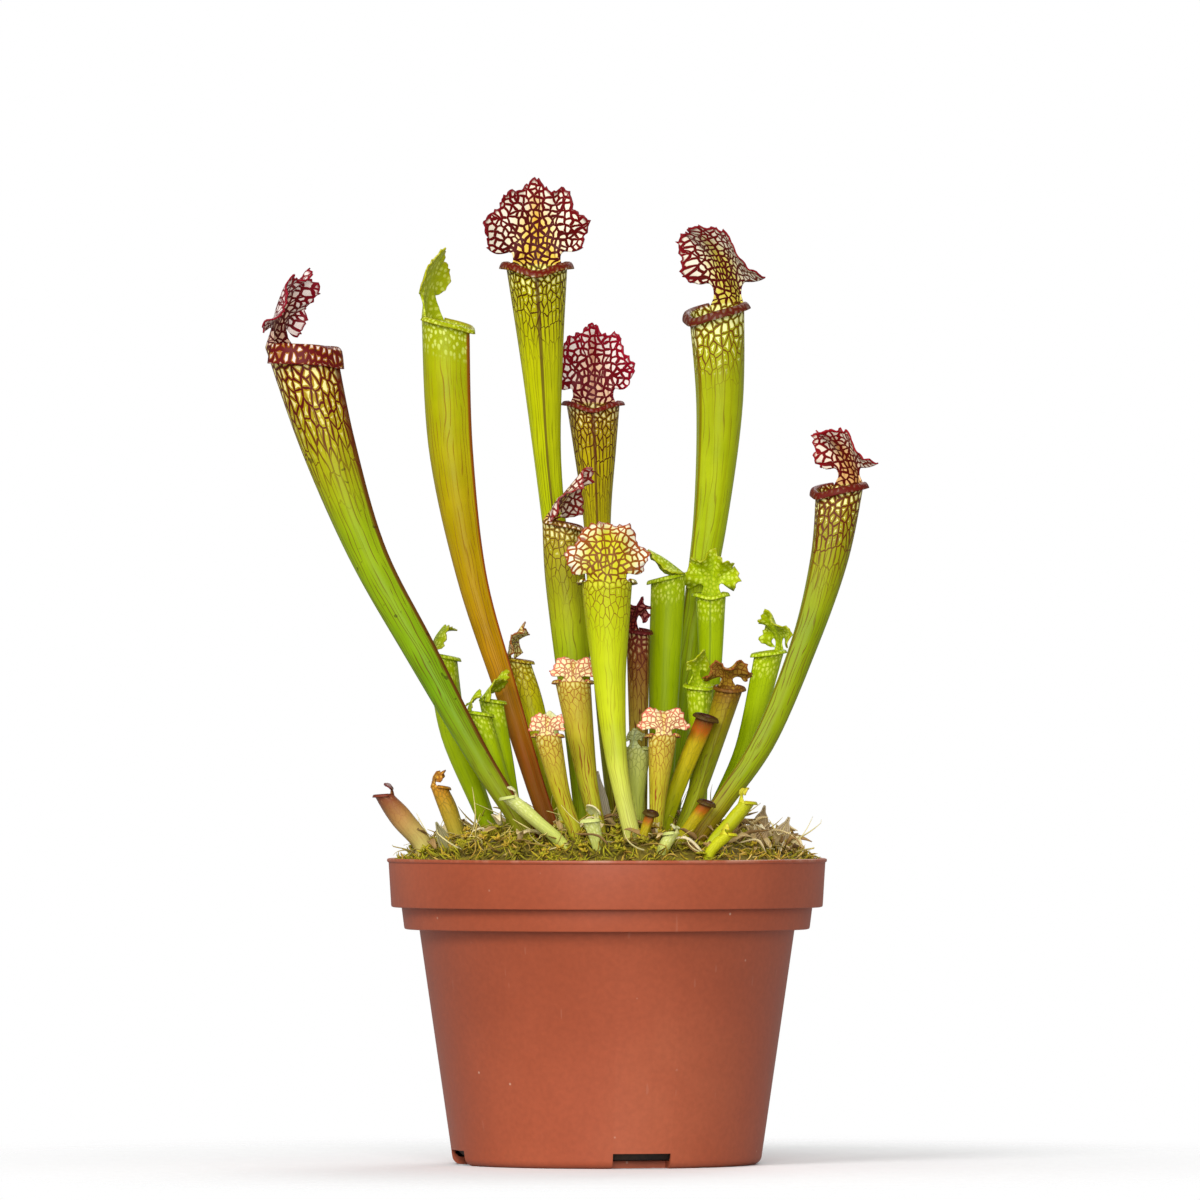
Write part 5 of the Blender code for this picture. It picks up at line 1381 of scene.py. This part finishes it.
def floor_and_light():
    """Pale floor that melts into a white surround, with soft light from the upper left and the front."""
    mesh = bpy.data.meshes.new("floor")
    work = bmesh.new()
    bmesh.ops.create_circle(work, cap_ends=True, radius=1.0, segments=96)
    work.to_mesh(mesh)
    work.free()
    m = Shade("floor_paper")
    coordinates = m.add("TexCoord").outputs["Object"]
    grain = m.noise(coordinates, 180.0, 2.0)
    paper = m.ramp(grain, ((0.3, (0.92, 0.92, 0.92, 1.0)), (0.7, (0.95, 0.95, 0.95, 1.0))))
    paper = m.mix(m.add("LightPath").outputs["Is Camera Ray"], (0.5, 0.5, 0.5, 1.0), paper)
    surface = m.add("BsdfPrincipled", {"Base Color": paper, "Roughness": 0.9}).outputs[0]
    far = m.ease(m.add("VectorMath", {0: coordinates}, operation="LENGTH").outputs["Value"], 0.07, 0.26)
    melt = m.add("MixShader", {0: far, 1: surface, 2: m.add("BsdfTransparent").outputs[0]}).outputs[0]
    m.add("OutputMaterial", {"Surface": melt})
    show(mesh, "floor", m.material)

    world = bpy.data.worlds.new("surround")
    bpy.context.scene.world = world
    world.use_nodes = True
    tree = world.node_tree
    dome = tree.nodes["Background"]
    dome.inputs["Color"].default_value = (1.0, 1.0, 1.0, 1.0)
    dome.inputs["Strength"].default_value = 0.42
    seen = tree.nodes.new("ShaderNodeBackground")
    seen.inputs["Color"].default_value = (1.0, 1.0, 1.0, 1.0)
    path = tree.nodes.new("ShaderNodeLightPath")
    either = tree.nodes.new("ShaderNodeMixShader")
    tree.links.new(path.outputs["Is Camera Ray"], either.inputs[0])
    tree.links.new(dome.outputs[0], either.inputs[1])
    tree.links.new(seen.outputs[0], either.inputs[2])
    tree.links.new(either.outputs[0], tree.nodes["World Output"].inputs["Surface"])
    for name, place, size, power in (
            ("key", (-0.7, -1.2, 1.0), 0.6, 14.0),
            ("front", (0.0, -1.6, 0.5), 0.9, 16.5),
            ("back", (0.4, 1.0, 1.0), 0.8, 6.0)):
        light = bpy.data.lights.new(name, "AREA")
        light.shape = "DISK"
        light.size = size
        light.energy = power
        lamp = bpy.data.objects.new(name, light)
        bpy.context.scene.collection.objects.link(lamp)
        lamp.location = place
        lamp.rotation_euler = (Vector((0, 0, 0.13)) - Vector(place)).to_track_quat("-Z", "Y").to_euler()


def set_camera():
    """Camera in front of the plant, at the photo's height and distance."""
    data = bpy.data.cameras.new("camera")
    data.sensor_width = 36.0
    data.lens = 36.0 * CAMERA_DISTANCE / FRAME_WIDTH
    camera = bpy.data.objects.new("camera", data)
    bpy.context.scene.collection.objects.link(camera)
    camera.location = Vector((CAMERA_X, -CAMERA_DISTANCE, CAMERA_Z)) * MM
    aim = math.atan((AIM_Z - CAMERA_Z) / CAMERA_DISTANCE)
    camera.rotation_euler = (math.pi / 2 + aim, 0.0, 0.0)
    bpy.context.scene.camera = camera


BLADE_TONES = {
    "bract_left": ((0.0, (214, 170, 150)), (0.5, (232, 214, 190)), (1.0, (240, 232, 220))),
    "bract_centre": ((0.0, (206, 180, 130)), (0.6, (226, 214, 184)), (1.0, (236, 228, 212))),
    "dry_blade_right_tall": ((0.0, (160, 130, 84)), (0.5, (196, 168, 122)), (1.0, (218, 198, 158))),
    "dry_blade_right_mid": ((0.0, (168, 136, 90)), (0.5, (204, 178, 130)), (1.0, (226, 208, 168))),
    "dry_blade_right_low": ((0.0, (150, 116, 70)), (0.5, (184, 152, 104)), (1.0, (210, 188, 144))),
    "dry_spike_left": ((0.0, (120, 118, 56)), (0.5, (160, 154, 92)), (1.0, (192, 184, 136))),
}


def main():
    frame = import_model()

    for number, shape in enumerate(LARGE_LEAVES + SMALL_LEAVES):
        fine_leaf(shape, number)
    fine_pot()
    stems = stems_at(MOSS_EDGE + 6)
    grow_moss(stems)
    dry_flakes()
    for blade in DRY_BLADES:
        dry_blade(*blade, BLADE_TONES[blade[0]])

    grown = {
        "soil": grown_material("peat", (24, 17, 11), (52, 38, 26), 90.0),
        "moss": grown_material("moss_bed", (76, 56, 12), (138, 122, 24), 110.0),
        "rhizome": grown_material("rhizome", (58, 36, 20), (104, 72, 44), 70.0),
    }
    for node, finish in grown.items():
        frame["nodes"][node].material_slots[0].material = finish

    floor_and_light()
    set_camera()
    bpy.context.scene.view_settings.view_transform = "Standard"


main()
